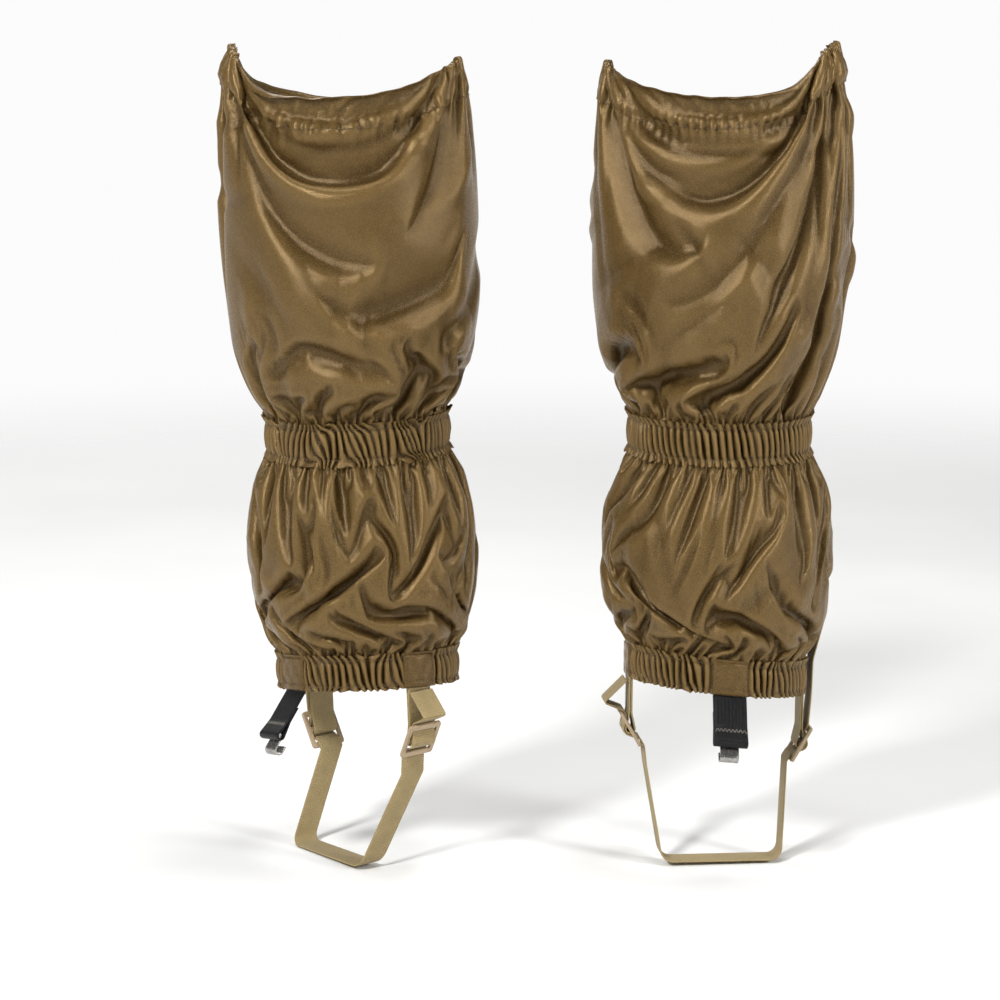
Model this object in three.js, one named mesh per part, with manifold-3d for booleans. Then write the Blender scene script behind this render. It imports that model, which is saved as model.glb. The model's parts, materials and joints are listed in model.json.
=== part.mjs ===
// A pair of pull-on hiking gaiters, standing as worn, in millimetres with +Z up and the toes towards -Y.
// The origin lies midway between the two legs, level with the calf bands.
// Each gaiter is a cloth sleeve with an elastic band round the calf and another round the ankle, a drawcord in its
// top hem, a strap with a lace hook at the front, and a webbing stirrup that runs under the boot through two slides.
// One gaiter is built with its outer side towards +X, and the other is its mirror image.
import * as THREE from "three";
import { mergeVertices } from "three/addons/utils/BufferGeometryUtils.js";
import Module from "manifold-3d";

const wasm = await Module();
wasm.setup();

// ---- the pair -------------------------------------------------------------------------------------------------
const LEG_SPACING = 265; // between the two legs, level with the calf bands
// In degrees: toes turned out, top leaning out, and the sleeve's rim turned on the leg towards its outer side.
const RIGHT = { name: "right", turn: -53, lean: -2.1, rimTurn: -45 };
const LEFT = { name: "left", turn: 6, lean: 0.4, rimTurn: -10 };

// ---- cloth and clearances ------------------------------------------------------------------------------------
const SEGMENTS = 32; // flats round every ring
const CLOTH = 1.2; // a sleeve's wall, with its wrinkles
const GATHERED = 2; // a wall drawn up by elastic
const GAP = 0.4; // between pieces that touch
const ELASTIC = 0.8; // thickness of an elastic tape
const ELASTIC_MARGIN = 2.5; // from a tape's edge to its channel's edge

// ---- heights, from the middle of the calf band ---------------------------------------------------------------
const CALF_BAND_HEIGHT = 25;
const HEM_HEIGHT = 25; // the gathered hem at the ankle
const HEM_BOTTOM = -188.5;
const RIM = 269; // the top edge at the sides
const TOP_HEM_HEIGHT = 30;

// ---- radii, outside -------------------------------------------------------------------------------------------
const CALF_RADIUS = 66;
const ANKLE_RADIUS = 66;
const UPPER_BULGE = 95;
const LOWER_BULGE = 82.5;
const RIM_RADIUS = 85;

// ---- how the rings are out of level --------------------------------------------------------------------------
const FRONT_DIP = 22; // the rim sags at the front and at the back
const BACK_DIP = 34;
const EAR_HEIGHT = 17; // the pinched corner of the rim
const EAR_ANGLE = 72; // degrees from the dip at the front towards the outer side
const EAR_SPREAD = 13;
const FRONT_LIFT = 5; // the hem rides up over the instep
const OUTER_DROP = 7; // and is drawn down on its outer side

// ---- drawcord, tabs -------------------------------------------------------------------------------------------
const CORD_RADIUS = 1.4;
const CORD_ROOM = 3.6; // between the two layers of the top hem
const TAB_COLUMNS = 2; // flats covered by a plain tab on the hem
const TAB_THICKNESS = 1;

// ---- straps ---------------------------------------------------------------------------------------------------
const WEBBING_WIDTH = 20;
const WEBBING = 1.2;
const FOOT_STRAP_LENGTH = 38; // from the hem to the slide's middle bar
const SEAM_DROP = 1.2; // from the hem's edge to the top of a strap sewn to it
const SEAM_LENGTH = 4; // sewn stretch of a doubled strap
const LACE_STRAP = { width: 25, thickness: 1.4, length: 36.4, lap: 24.4, slope: 42 };

// ---- slides ---------------------------------------------------------------------------------------------------
const SLIDE = { width: 28, thickness: 2.6, bar: 4.4, middleBar: 4, slot: 8.3, side: 3.2, tilt: 30 };
const SLIDE_CORNER = 2.4;
const BAR_CLEARANCE = 0.4; // round a bar that turns in a strap
const THREAD_CLEARANCE = 0.35; // between the stirrup and what it threads through
const BEND_RADIUS = 2.4; // of the webbing's own folds

// ---- lace hook ------------------------------------------------------------------------------------------------
const HOOK = { width: 13.5, thickness: 1.2, pivot: 1.5, pivotLength: 21, stem: 11, mouth: 5.2, tip: 8 };
const HOOK_CLEARANCE = 0.5; // between the stem and the folded strap
const HOOK_SLOT = { width: 15, above: 5, below: 2.4 }; // cut in the back of the strap's fold

// ---- stirrup --------------------------------------------------------------------------------------------------
const SOLE_DEPTH = 125; // from the hem's edge to the underside of the stirrup
const SOLE_HALF_WIDTH = 44;
const SOLE_CORNER = 9;
const SOLE_FORWARD = 36; // the arch lies ahead of the leg

const COLOURS = { cloth: 0x6e5434, lining: 0x5d472c, elastic: 0xe6e1d6, webbing: 0x9c8a60, black: 0x1c1b1c };
const FINISHES = {
  cloth: { color: COLOURS.cloth, roughness: 0.42, metalness: 0 },
  lining: { color: COLOURS.lining, roughness: 0.6, metalness: 0 },
  elastic: { color: COLOURS.elastic, roughness: 0.8, metalness: 0 },
  webbing: { color: COLOURS.webbing, roughness: 0.75, metalness: 0 },
  black_webbing: { color: COLOURS.black, roughness: 0.45, metalness: 0 },
  plastic: { color: 0x8a735a, roughness: 0.4, metalness: 0 },
  steel: { color: 0x4a4644, roughness: 0.35, metalness: 0.9 },
};

const radians = THREE.MathUtils.degToRad;
const smooth = THREE.MathUtils.smoothstep;

// ---- helpers --------------------------------------------------------------------------------------------------

// Moves every point of a ring from its level place to where the gaiter's rim and hem really run.
function warp(geometry, rimTurn) {
  const place = geometry.attributes.position;
  for (let i = 0; i < place.count; i++) {
    const angle = Math.atan2(place.getX(i), -place.getY(i)); // from the front towards the outer side
    place.setZ(i, warpedHeight(place.getZ(i), angle, rimTurn));
  }
  return geometry;
}

function warpedHeight(z, angle, rimTurn = 0) {
  const rimAngle = angle - radians(rimTurn);
  const across = Math.cos(rimAngle);
  const fromEar = Math.acos(Math.cos(rimAngle - radians(EAR_ANGLE)));
  const rim = EAR_HEIGHT * Math.exp(-((fromEar / radians(EAR_SPREAD)) ** 2))
    - (across > 0 ? FRONT_DIP : BACK_DIP) * Math.abs(across) ** 1.2;
  const hem = FRONT_LIFT * Math.cos(angle) - OUTER_DROP * Math.sin(angle);
  const rimShare = smooth(z, RIM - 4 * TOP_HEM_HEIGHT, RIM - TOP_HEM_HEIGHT);
  const hemShare = 1 - smooth(z, HEM_BOTTOM + HEM_HEIGHT, HEM_BOTTOM + 4 * HEM_HEIGHT);
  return z + rimShare * rim + hemShare * hem;
}

// A closed [radius, height] outline turned round the leg.
function ring(outline, rimTurn) {
  const points = [...outline, outline[0]].map(([r, z]) => new THREE.Vector2(r, z));
  return warp(new THREE.LatheGeometry(points, SEGMENTS).rotateX(Math.PI / 2), rimTurn);
}

// A wall that follows an outer [radius, height] line, listed upwards.
function wall(line, thickness, rimTurn) {
  return ring([...line, ...line.map(([r, z]) => [r - thickness, z]).reverse()], rimTurn);
}

const band = (outer, thickness, bottom, top) => wall([[outer, bottom], [outer, top]], thickness);

// A smooth line through a few [radius, height] stations, in so many steps.
function flowing(stations, steps) {
  const curve = new THREE.SplineCurve(stations.map(([r, z]) => new THREE.Vector2(r, z)));
  return curve.getPoints(steps).map((p) => [p.x, p.y]);
}

function asManifold(geometry) {
  const bare = new THREE.BufferGeometry();
  bare.setAttribute("position", geometry.attributes.position.clone());
  bare.setIndex(geometry.index);
  const merged = mergeVertices(bare, 1e-3);
  return new wasm.Manifold(new wasm.Mesh({
    numProp: 3,
    vertProperties: new Float32Array(merged.attributes.position.array),
    triVerts: new Uint32Array(merged.index.array),
  }));
}

function asGeometry(solid) {
  const mesh = solid.getMesh();
  const made = new THREE.BufferGeometry();
  made.setAttribute("position", new THREE.BufferAttribute(new Float32Array(mesh.vertProperties), 3));
  made.setIndex(new THREE.BufferAttribute(new Uint32Array(mesh.triVerts), 1));
  made.computeVertexNormals();
  return made;
}

// Strap hardware is drawn from the side, as (outwards, upwards), then widened along the tangent. It is made for the
// front of the leg, where outwards is -Y, and a station's group turns it to its own side.
function widened(shape, width) {
  const made = new THREE.ExtrudeGeometry(shape, { depth: width, bevelEnabled: false, curveSegments: 6 });
  made.translate(0, 0, -width / 2);
  const sideways = new THREE.Matrix4().makeBasis(
    new THREE.Vector3(0, -1, 0), new THREE.Vector3(0, 0, 1), new THREE.Vector3(-1, 0, 0));
  return made.applyMatrix4(sideways);
}

// Points of a path with rounded corners. Each corner is [outwards, upwards, radius].
function rounded(corners, steps = 5) {
  const at = corners.map(([n, up]) => new THREE.Vector2(n, up));
  const points = [at[0]];
  for (let i = 1; i < at.length - 1; i++) {
    const back = at[i - 1].clone().sub(at[i]).normalize();
    const on = at[i + 1].clone().sub(at[i]).normalize();
    const half = Math.acos(THREE.MathUtils.clamp(back.dot(on), -1, 1)) / 2;
    const radius = corners[i][2] ?? BEND_RADIUS;
    const reach = radius / Math.tan(half);
    const centre = at[i].clone().add(back.clone().add(on).normalize().multiplyScalar(radius / Math.sin(half)));
    const first = at[i].clone().addScaledVector(back, reach).sub(centre);
    const last = at[i].clone().addScaledVector(on, reach).sub(centre);
    const turn = Math.atan2(first.cross(last), first.dot(last));
    for (let k = 0; k <= steps; k++) {
      points.push(first.clone().rotateAround(new THREE.Vector2(), (turn * k) / steps).add(centre));
    }
  }
  return [...points, at.at(-1)];
}

// The outline of a strip of the given thickness along a path.
function strip(path, thickness) {
  const side = (sign) => path.map((point, i) => {
    const before = path[Math.max(i - 1, 0)];
    const after = path[Math.min(i + 1, path.length - 1)];
    const along = after.clone().sub(before).normalize();
    return point.clone().add(new THREE.Vector2(-along.y, along.x).multiplyScalar((sign * thickness) / 2));
  });
  return new THREE.Shape([...side(-1), ...side(1).reverse()]);
}

// The angle at which a line from (across, above) touches a circle round the origin.
const tangentAngle = (across, above, radius) =>
  Math.atan2(above, across) - Math.acos(radius / Math.hypot(across, above));

// A strap that hangs from the origin, goes round a bar and comes back up. Its two layers are sewn together down to
// `seam`, and stand `gap` apart below that. The returning layer, on the leg side, reaches up to `lap` from the bar.
function foldedStrap({ width, thickness, length, lap, pocket, gap, seam, taper }) {
  const half = gap / 2 + thickness;
  const round = pocket + thickness;
  const end = lap < length ? [[-half, lap - length], [gap / 2, lap - length], [gap / 2, 0]] : [[-half, 0]];
  const shape = new THREE.Shape(outline([
    [half, 0],
    [half, taper - length],
    ...arc(-length, round, tangentAngle(half, taper, round)),
    [-half, taper - length],
    ...end,
  ]));
  const throat = gap > 0
    ? [[gap / 2, taper - length], [gap / 2, -seam], [-gap / 2, -seam], [-gap / 2, taper - length]]
    : [[0, taper - length]];
  shape.holes.push(new THREE.Path(outline([
    ...arc(-length, pocket, tangentAngle(gap / 2, taper, pocket)).reverse(),
    ...throat,
  ])));
  return widened(shape, width);
}

const outline = (points) => points.map(([n, up]) => new THREE.Vector2(n, up));

// Points round the underside of a circle at a height, from the outer tangent to the inner one.
function arc(height, radius, start, steps = 10) {
  return Array.from({ length: steps + 1 }, (_, i) => {
    const angle = start - ((Math.PI + 2 * start) * i) / steps;
    return [radius * Math.cos(angle), height + radius * Math.sin(angle)];
  });
}

function roundedRectangle(width, height, corner, path) {
  const [x, y] = [width / 2, height / 2];
  path.moveTo(corner - x, -y);
  path.lineTo(x - corner, -y);
  path.absarc(x - corner, corner - y, corner, -Math.PI / 2, 0, false);
  path.lineTo(x, y - corner);
  path.absarc(x - corner, y - corner, corner, 0, Math.PI / 2, false);
  path.lineTo(corner - x, y);
  path.absarc(corner - x, y - corner, corner, Math.PI / 2, Math.PI, false);
  path.lineTo(-x, corner - y);
  path.absarc(corner - x, corner - y, corner, Math.PI, 1.5 * Math.PI, false);
  return path;
}

// ---- the sleeve -----------------------------------------------------------------------------------------------

const CALF_TOP = CALF_BAND_HEIGHT / 2;
const HEM_TOP = HEM_BOTTOM + HEM_HEIGHT;
const RIM_SEAM = RIM - TOP_HEM_HEIGHT;

// The band's outer layer is gathered, and the tape lies between it and a plain inner layer.
const tapeOuter = (outer) => outer - GATHERED - GAP;
const innerLayerOuter = (outer) => tapeOuter(outer) - ELASTIC - GAP;

function upperSleeve(rimTurn) {
  const [low, high] = [CALF_TOP + GAP, RIM_SEAM - GAP];
  const rise = high - low;
  return wall(flowing([
    [CALF_RADIUS - 0.5, low],
    [THREE.MathUtils.lerp(CALF_RADIUS, UPPER_BULGE, 0.42), low + 0.107 * rise],
    [UPPER_BULGE - 3.5, low + 0.27 * rise],
    [UPPER_BULGE, low + 0.53 * rise],
    [UPPER_BULGE - 5.5, low + 0.855 * rise],
    [RIM_RADIUS, high],
  ], 9), CLOTH, rimTurn);
}

function lowerSleeve() {
  const [low, high] = [HEM_TOP + GAP, -CALF_TOP - GAP];
  const drop = high - low;
  return wall(flowing([
    [ANKLE_RADIUS - 0.5, low],
    [LOWER_BULGE - 4.5, low + 0.24 * drop],
    [LOWER_BULGE, low + 0.52 * drop],
    [LOWER_BULGE - 3.5, low + 0.785 * drop],
    [CALF_RADIUS - 0.5, high],
  ], 9), CLOTH);
}

// The rim is folded inwards and sewn down, which leaves a tunnel that is open along its lower edge.
function topHem(rimTurn) {
  const inner = RIM_RADIUS - CLOTH - CORD_ROOM;
  const roof = RIM - CLOTH;
  return ring([
    [RIM_RADIUS, RIM_SEAM], [RIM_RADIUS, roof], [RIM_RADIUS - CLOTH, RIM], [inner, RIM],
    [inner - CLOTH, roof], [inner - CLOTH, RIM_SEAM], [inner, RIM_SEAM], [inner, roof],
    [RIM_RADIUS - CLOTH, roof], [RIM_RADIUS - CLOTH, RIM_SEAM],
  ], rimTurn);
}

function drawcord(rimTurn) {
  const centre = [RIM_RADIUS - CLOTH - CORD_ROOM / 2, RIM_SEAM + 3 * CORD_RADIUS];
  const sides = 6;
  return ring(Array.from({ length: sides }, (_, i) => {
    const angle = (i * 2 * Math.PI) / sides;
    return [centre[0] + CORD_RADIUS * Math.cos(angle), centre[1] + CORD_RADIUS * Math.sin(angle)];
  }), rimTurn);
}

const calfBand = () => band(CALF_RADIUS, GATHERED, -CALF_TOP, CALF_TOP);
const calfElastic = () =>
  band(tapeOuter(CALF_RADIUS), ELASTIC, ELASTIC_MARGIN - CALF_TOP, CALF_TOP - ELASTIC_MARGIN);
const calfLining = () => band(innerLayerOuter(CALF_RADIUS), CLOTH, -CALF_TOP, CALF_TOP);

// The ankle hem is folded up inside, round its elastic, and its channel is open along its upper edge.
function ankleHem() {
  const outer = ANKLE_RADIUS;
  const inner = innerLayerOuter(outer);
  const floor = HEM_BOTTOM + CLOTH;
  return ring([
    [outer, floor], [outer, HEM_TOP], [outer - GATHERED, HEM_TOP], [outer - GATHERED, floor],
    [inner, floor], [inner, HEM_TOP], [inner - CLOTH, HEM_TOP], [inner - CLOTH, floor],
    [inner, HEM_BOTTOM], [outer - CLOTH, HEM_BOTTOM],
  ]);
}

const ankleElastic = () =>
  band(tapeOuter(ANKLE_RADIUS), ELASTIC, HEM_BOTTOM + ELASTIC_MARGIN, HEM_TOP - ELASTIC_MARGIN);

// A plain patch over the gathers, where a strap is sewn on. `column` counts flats from the front.
function hemTab(column) {
  const inner = ANKLE_RADIUS + GAP;
  const arc = (radius) => Array.from({ length: TAB_COLUMNS + 1 }, (_, i) => {
    const angle = ((column - TAB_COLUMNS / 2 + i) * 2 * Math.PI) / SEGMENTS;
    return new THREE.Vector2(radius * Math.sin(angle), -radius * Math.cos(angle));
  });
  const shape = new THREE.Shape([...arc(inner + TAB_THICKNESS), ...arc(inner).reverse()]);
  const made = new THREE.ExtrudeGeometry(shape, { depth: HEM_HEIGHT, bevelEnabled: false });
  return warp(made.translate(0, 0, HEM_BOTTOM));
}

// ---- lace strap and hook, from the hem's front edge ------------------------------------------------------------

const LACE_POCKET = HOOK.pivot + BAR_CLEARANCE + 0.1;
const LACE_DROP = LACE_STRAP.thickness + 0.8; // lets the strap lift until it lies level

function laceStrap() {
  const strap = asManifold(foldedStrap({
    ...LACE_STRAP, pocket: LACE_POCKET, gap: 0, seam: 0, taper: LACE_STRAP.lap / 2,
  }));
  const { width, above, below } = HOOK_SLOT;
  const depth = LACE_POCKET + LACE_STRAP.thickness + 1;
  const slot = new THREE.BoxGeometry(width, depth, above + below);
  slot.translate(0, depth / 2, (above - below) / 2 - LACE_STRAP.length);
  return asGeometry(strap.subtract(asManifold(slot)));
}

function laceHook() {
  const { width, thickness, pivot, pivotLength, stem, mouth, tip } = HOOK;
  const back = -(LACE_POCKET + LACE_STRAP.thickness + HOOK_CLEARANCE + thickness / 2);
  const across = mouth + thickness;
  const plate = widened(strip(rounded([
    [0, -LACE_STRAP.length],
    [back, -LACE_STRAP.length, 1.5],
    [back, -LACE_STRAP.length - stem, across / 2 - 0.01],
    [back - across, -LACE_STRAP.length - stem, across / 2 - 0.01],
    [back - across, tip - LACE_STRAP.length - stem],
  ]), thickness), width);
  const bar = new THREE.CylinderGeometry(pivot, pivot, pivotLength, 12);
  bar.rotateZ(Math.PI / 2).translate(0, 0, -LACE_STRAP.length);
  return asGeometry(asManifold(plate).add(asManifold(bar)));
}

// ---- foot strap and slide, from the hem's edge at the side -------------------------------------------------------

const SLIDE_POCKET = Math.hypot(SLIDE.middleBar, SLIDE.thickness) / 2 + BAR_CLEARANCE;
const OUTER_BAR = SLIDE.middleBar / 2 + SLIDE.slot; // from the middle of the slide to an end bar's near edge
const STRAP_HALF = WEBBING + THREAD_CLEARANCE / 2;

const footStrap = () => foldedStrap({
  width: WEBBING_WIDTH, thickness: WEBBING, length: FOOT_STRAP_LENGTH, lap: FOOT_STRAP_LENGTH,
  pocket: SLIDE_POCKET, gap: THREAD_CLEARANCE, seam: SEAM_LENGTH, taper: 12,
});

// The slide is drawn flat, and its group tilts it.
function slide() {
  const { width, thickness, bar, slot, side } = SLIDE;
  const shape = roundedRectangle(width, 2 * (OUTER_BAR + bar), SLIDE_CORNER, new THREE.Shape());
  for (const end of [-1, 1]) {
    const hole = new THREE.Path();
    const middle = end * (OUTER_BAR - slot / 2);
    const half = width / 2 - side;
    hole.moveTo(-half, middle - slot / 2);
    hole.lineTo(half, middle - slot / 2);
    hole.lineTo(half, middle + slot / 2);
    hole.lineTo(-half, middle + slot / 2);
    hole.closePath();
    shape.holes.push(hole);
  }
  const made = new THREE.ExtrudeGeometry(shape, { depth: thickness, bevelEnabled: false, curveSegments: 3 });
  return made.translate(0, 0, -thickness / 2).rotateX(Math.PI / 2);
}

// Where the stirrup's centreline passes, as (outwards, upwards) from the slide's middle bar: behind both end bars,
// and over the foot strap where that goes round the middle bar.
function threading() {
  const offset = SLIDE.thickness / 2 + THREAD_CLEARANCE + WEBBING / 2 + 0.25; // behind an end bar
  const clear = SLIDE_POCKET + WEBBING + THREAD_CLEARANCE + WEBBING / 2; // round the middle bar
  const [a, r2] = [OUTER_BAR ** 2, clear ** 2];
  const crown = (offset * r2 + OUTER_BAR * clear * Math.sqrt(a + offset ** 2 - r2)) / (a - r2);
  const tilt = radians(SLIDE.tilt);
  const at = (along, across) => [
    along * Math.sin(tilt) + across * Math.cos(tilt),
    along * Math.cos(tilt) - across * Math.sin(tilt),
  ];
  return {
    foot: at(-OUTER_BAR - SLIDE.bar - 2, -offset),
    lower: [...at(-OUTER_BAR, -offset), BEND_RADIUS],
    crown: [...at(0, crown), clear],
    upper: [...at(OUTER_BAR, -offset), BEND_RADIUS],
    head: at(OUTER_BAR + SLIDE.bar, -offset),
  };
}

// The stretch of the stirrup that passes through a slide, with its loose tail.
function strapTail(tail) {
  const { foot, lower, crown, upper } = threading();
  return widened(strip(rounded([foot, lower, crown, upper, ...tail()]), WEBBING), WEBBING_WIDTH);
}

// Outside, the tail stands up along the sleeve, whose bulge it clears.
function outerTail() {
  const { head } = threading();
  const sleeve = ANKLE_RADIUS + TAB_THICKNESS - STRAP_PLACE;
  return [
    [...head, 6],
    [sleeve + 4, FOOT_STRAP_LENGTH, 20],
    [sleeve + 4.6, FOOT_STRAP_LENGTH + 1.04 * HEM_HEIGHT, 30],
    [LOWER_BULGE - 1.5 - STRAP_PLACE, FOOT_STRAP_LENGTH + 2.5 * HEM_HEIGHT],
  ];
}

// Inside, it is slack: it stands out in a fold, and its end is tucked back under the hem.
function innerTail() {
  const { head } = threading();
  const close = STRAP_HALF + THREAD_CLEARANCE + WEBBING / 2;
  return [[...head, 3], [20, 20, 1.6], [close + 1, FOOT_STRAP_LENGTH - 1.5]];
}

const STRAP_PLACE = ANKLE_RADIUS - 2; // from the leg's axis to the straps sewn to the hem

// The stirrup, from one slide under the boot to the other. It slopes forwards as it goes down to the arch.
function stirrup() {
  const { foot } = threading();
  const side = STRAP_PLACE + foot[0];
  const below = hemEdge(Math.PI / 2) - SEAM_DROP - FOOT_STRAP_LENGTH + foot[1] - GAP;
  const belowInner = hemEdge(-Math.PI / 2) - SEAM_DROP - FOOT_STRAP_LENGTH + foot[1] - GAP;
  const floor = HEM_BOTTOM - SOLE_DEPTH;
  const path = rounded([
    [side, below],
    [SOLE_HALF_WIDTH, floor + WEBBING / 2, SOLE_CORNER],
    [-SOLE_HALF_WIDTH, floor + WEBBING / 2, SOLE_CORNER],
    [-side, belowInner],
  ], 4);
  // drawn as (outer side, up) and widened along the foot
  const made = new THREE.ExtrudeGeometry(strip(path, WEBBING), { depth: WEBBING_WIDTH, bevelEnabled: false });
  made.translate(0, 0, -WEBBING_WIDTH / 2).rotateX(Math.PI / 2);
  const place = made.attributes.position;
  const slopeTop = Math.min(below, belowInner);
  for (let i = 0; i < place.count; i++) {
    const share = THREE.MathUtils.clamp((slopeTop - place.getZ(i)) / (slopeTop - floor), 0, 1);
    place.setY(i, place.getY(i) - SOLE_FORWARD * share);
  }
  return made;
}

// The height of the hem's lower edge at an angle from the front.
const hemEdge = (angle) => warpedHeight(HEM_BOTTOM, angle);

// ---- assembly -------------------------------------------------------------------------------------------------

function gaiter({ name, turn, lean, rimTurn }) {
  const body = new THREE.Group();
  const add = (parent, piece, geometry, finish) => {
    const mesh = new THREE.Mesh(geometry, new THREE.MeshStandardMaterial(FINISHES[finish]));
    mesh.name = `${name}_${piece}`;
    parent.add(mesh);
  };
  add(body, "top_hem", topHem(rimTurn), "cloth");
  add(body, "top_drawcord", drawcord(rimTurn), "elastic");
  add(body, "upper_sleeve", upperSleeve(rimTurn), "cloth");
  add(body, "calf_band", calfBand(), "cloth");
  add(body, "calf_elastic", calfElastic(), "elastic");
  add(body, "calf_lining", calfLining(), "lining");
  add(body, "lower_sleeve", lowerSleeve(), "cloth");
  add(body, "ankle_hem", ankleHem(), "cloth");
  add(body, "ankle_elastic", ankleElastic(), "elastic");
  add(body, "front_tab", hemTab(0), "cloth");
  add(body, "stirrup_strap", stirrup(), "webbing");

  const front = new THREE.Group();
  front.position.set(0, -STRAP_PLACE, hemEdge(0) - LACE_DROP);
  front.rotation.set(radians(-LACE_STRAP.slope), Math.atan(OUTER_DROP / ANKLE_RADIUS), 0, "YXZ");
  add(front, "lace_strap", laceStrap(), "black_webbing");
  add(front, "lace_hook", laceHook(), "steel");
  body.add(front);

  const sides = [
    ["outer", SEGMENTS / 4, outerTail],
    ["inner", -SEGMENTS / 4, innerTail],
  ];
  for (const [side, column, tail] of sides) {
    const angle = (column * 2 * Math.PI) / SEGMENTS;
    add(body, `${side}_tab`, hemTab(column), "cloth");
    const station = new THREE.Group();
    station.rotation.z = angle;
    station.position.set(STRAP_PLACE * Math.sin(angle), -STRAP_PLACE * Math.cos(angle), hemEdge(angle) - SEAM_DROP);
    add(station, `${side}_foot_strap`, footStrap(), "webbing");
    const bar = new THREE.Group();
    bar.position.z = -FOOT_STRAP_LENGTH;
    add(bar, `${side}_strap_tail`, strapTail(tail), "webbing");
    const tilted = new THREE.Group();
    tilted.rotation.x = radians(SLIDE.tilt);
    add(tilted, `${side}_slide`, slide(), "plastic");
    bar.add(tilted);
    station.add(bar);
    body.add(station);
  }

  const hand = Math.sign(turn);
  const mirrored = new THREE.Group();
  mirrored.scale.x = hand;
  mirrored.add(body);
  const turned = new THREE.Group();
  turned.rotation.z = radians(turn);
  turned.add(mirrored);
  const leg = new THREE.Group();
  leg.rotation.y = radians(lean);
  leg.position.x = (hand * LEG_SPACING) / 2;
  leg.add(turned);
  return leg;
}

const pair = new THREE.Group();
pair.add(gaiter(RIGHT), gaiter(LEFT));

export default pair;
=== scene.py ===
"""A pair of hiking gaiters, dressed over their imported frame: draped sleeves, gathered bands, webbing and hardware."""
import json
import math
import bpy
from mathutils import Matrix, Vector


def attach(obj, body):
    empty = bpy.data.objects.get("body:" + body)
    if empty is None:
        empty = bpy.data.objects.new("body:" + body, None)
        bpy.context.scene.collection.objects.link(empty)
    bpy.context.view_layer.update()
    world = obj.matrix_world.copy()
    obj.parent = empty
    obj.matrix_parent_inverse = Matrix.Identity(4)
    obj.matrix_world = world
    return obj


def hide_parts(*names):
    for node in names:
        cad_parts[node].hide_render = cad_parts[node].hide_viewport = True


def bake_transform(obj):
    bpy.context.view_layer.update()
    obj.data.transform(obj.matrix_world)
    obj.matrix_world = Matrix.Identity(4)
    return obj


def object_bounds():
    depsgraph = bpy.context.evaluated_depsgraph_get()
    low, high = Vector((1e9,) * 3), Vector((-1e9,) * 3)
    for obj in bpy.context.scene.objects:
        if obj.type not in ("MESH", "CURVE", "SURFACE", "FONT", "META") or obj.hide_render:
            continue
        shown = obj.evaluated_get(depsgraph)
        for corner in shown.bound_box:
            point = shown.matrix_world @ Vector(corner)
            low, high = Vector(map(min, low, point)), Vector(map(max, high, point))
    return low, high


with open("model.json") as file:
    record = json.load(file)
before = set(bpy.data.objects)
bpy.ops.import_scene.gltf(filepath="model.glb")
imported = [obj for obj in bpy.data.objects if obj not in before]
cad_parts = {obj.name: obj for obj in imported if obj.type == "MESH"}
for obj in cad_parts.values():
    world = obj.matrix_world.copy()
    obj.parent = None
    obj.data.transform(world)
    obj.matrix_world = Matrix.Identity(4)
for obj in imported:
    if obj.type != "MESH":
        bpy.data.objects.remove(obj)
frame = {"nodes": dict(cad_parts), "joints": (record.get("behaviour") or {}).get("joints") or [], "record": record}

from concurrent.futures import ThreadPoolExecutor

import bmesh
import bpy
import numpy as np
from bpy.props import FloatProperty, FloatVectorProperty, IntProperty, PointerProperty
from bpy.types import Operator, Panel, PropertyGroup
from mathutils import Vector

bl_info = {
    "name": "Hiking Gaiters",
    "version": (1, 0, 0),
    "blender": (4, 5, 0),
    "location": "View3D > Sidebar > Gaiters",
    "description": "Dresses a pair of hiking gaiters with cloth, webbing and hardware",
    "category": "Object",
}

CAD_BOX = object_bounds()
TAU = 2 * math.pi
MM = 0.001

# Lengths in metres, measured from the middle of the calf band.
CUT_WIDTH = 0.600  # of the cloth, before it is gathered
CALF_TOP = 0.0125
RIM = 0.269
TOP_HEM = 0.030
HEM_BOTTOM = -0.1885
HEM_HEIGHT = 0.025
FRONT_DIP, BACK_DIP, EAR_HEIGHT = 0.022, 0.034, 0.017
EAR_ANGLE, EAR_SPREAD = math.radians(72), math.radians(26)
FRONT_LIFT, OUTER_DROP = 0.005, 0.007
STRAP_PLACE = 0.064
WEBBING = 0.0012
WEBBING_WIDTH = 0.020
FOOT_STRAP = 0.038
STRAP_BEND = 18  # steps at each end of the stirrup's path that are made into its tails
COLUMNS = 480  # of a sleeve's finished grid
UPPER_ROWS, LOWER_ROWS, HEM_ROWS = 108, 72, 22
BAND_COLUMNS = 960
CORD_ROW, CORD_RADIUS = 7, 1.3 * MM  # the drawcord's place in the hem's rows
CLOTH = 0.5 * MM  # thickness of a sleeve
SEWN_RADIUS = 0.0650  # of the rings that the sleeves are sewn to
RIM_RADIUS = 0.0850  # of the top edge, under its hem
HEM_MIDDLE = 0.067  # radius of the ankle hem's middle
TAB_RADIUS, TAB_HALF, TAB_SEAM, TAB_INSET = 0.0664, math.radians(11.25), 5.0 * MM, 2.0 * MM
FRONT_ROLL = math.atan(7 / 66)  # the front tab's tilt, as the hem slopes there
SIDES = ("right", "left")


# ---- where each leg stands ----------------------------------------------------------------------------------

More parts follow.
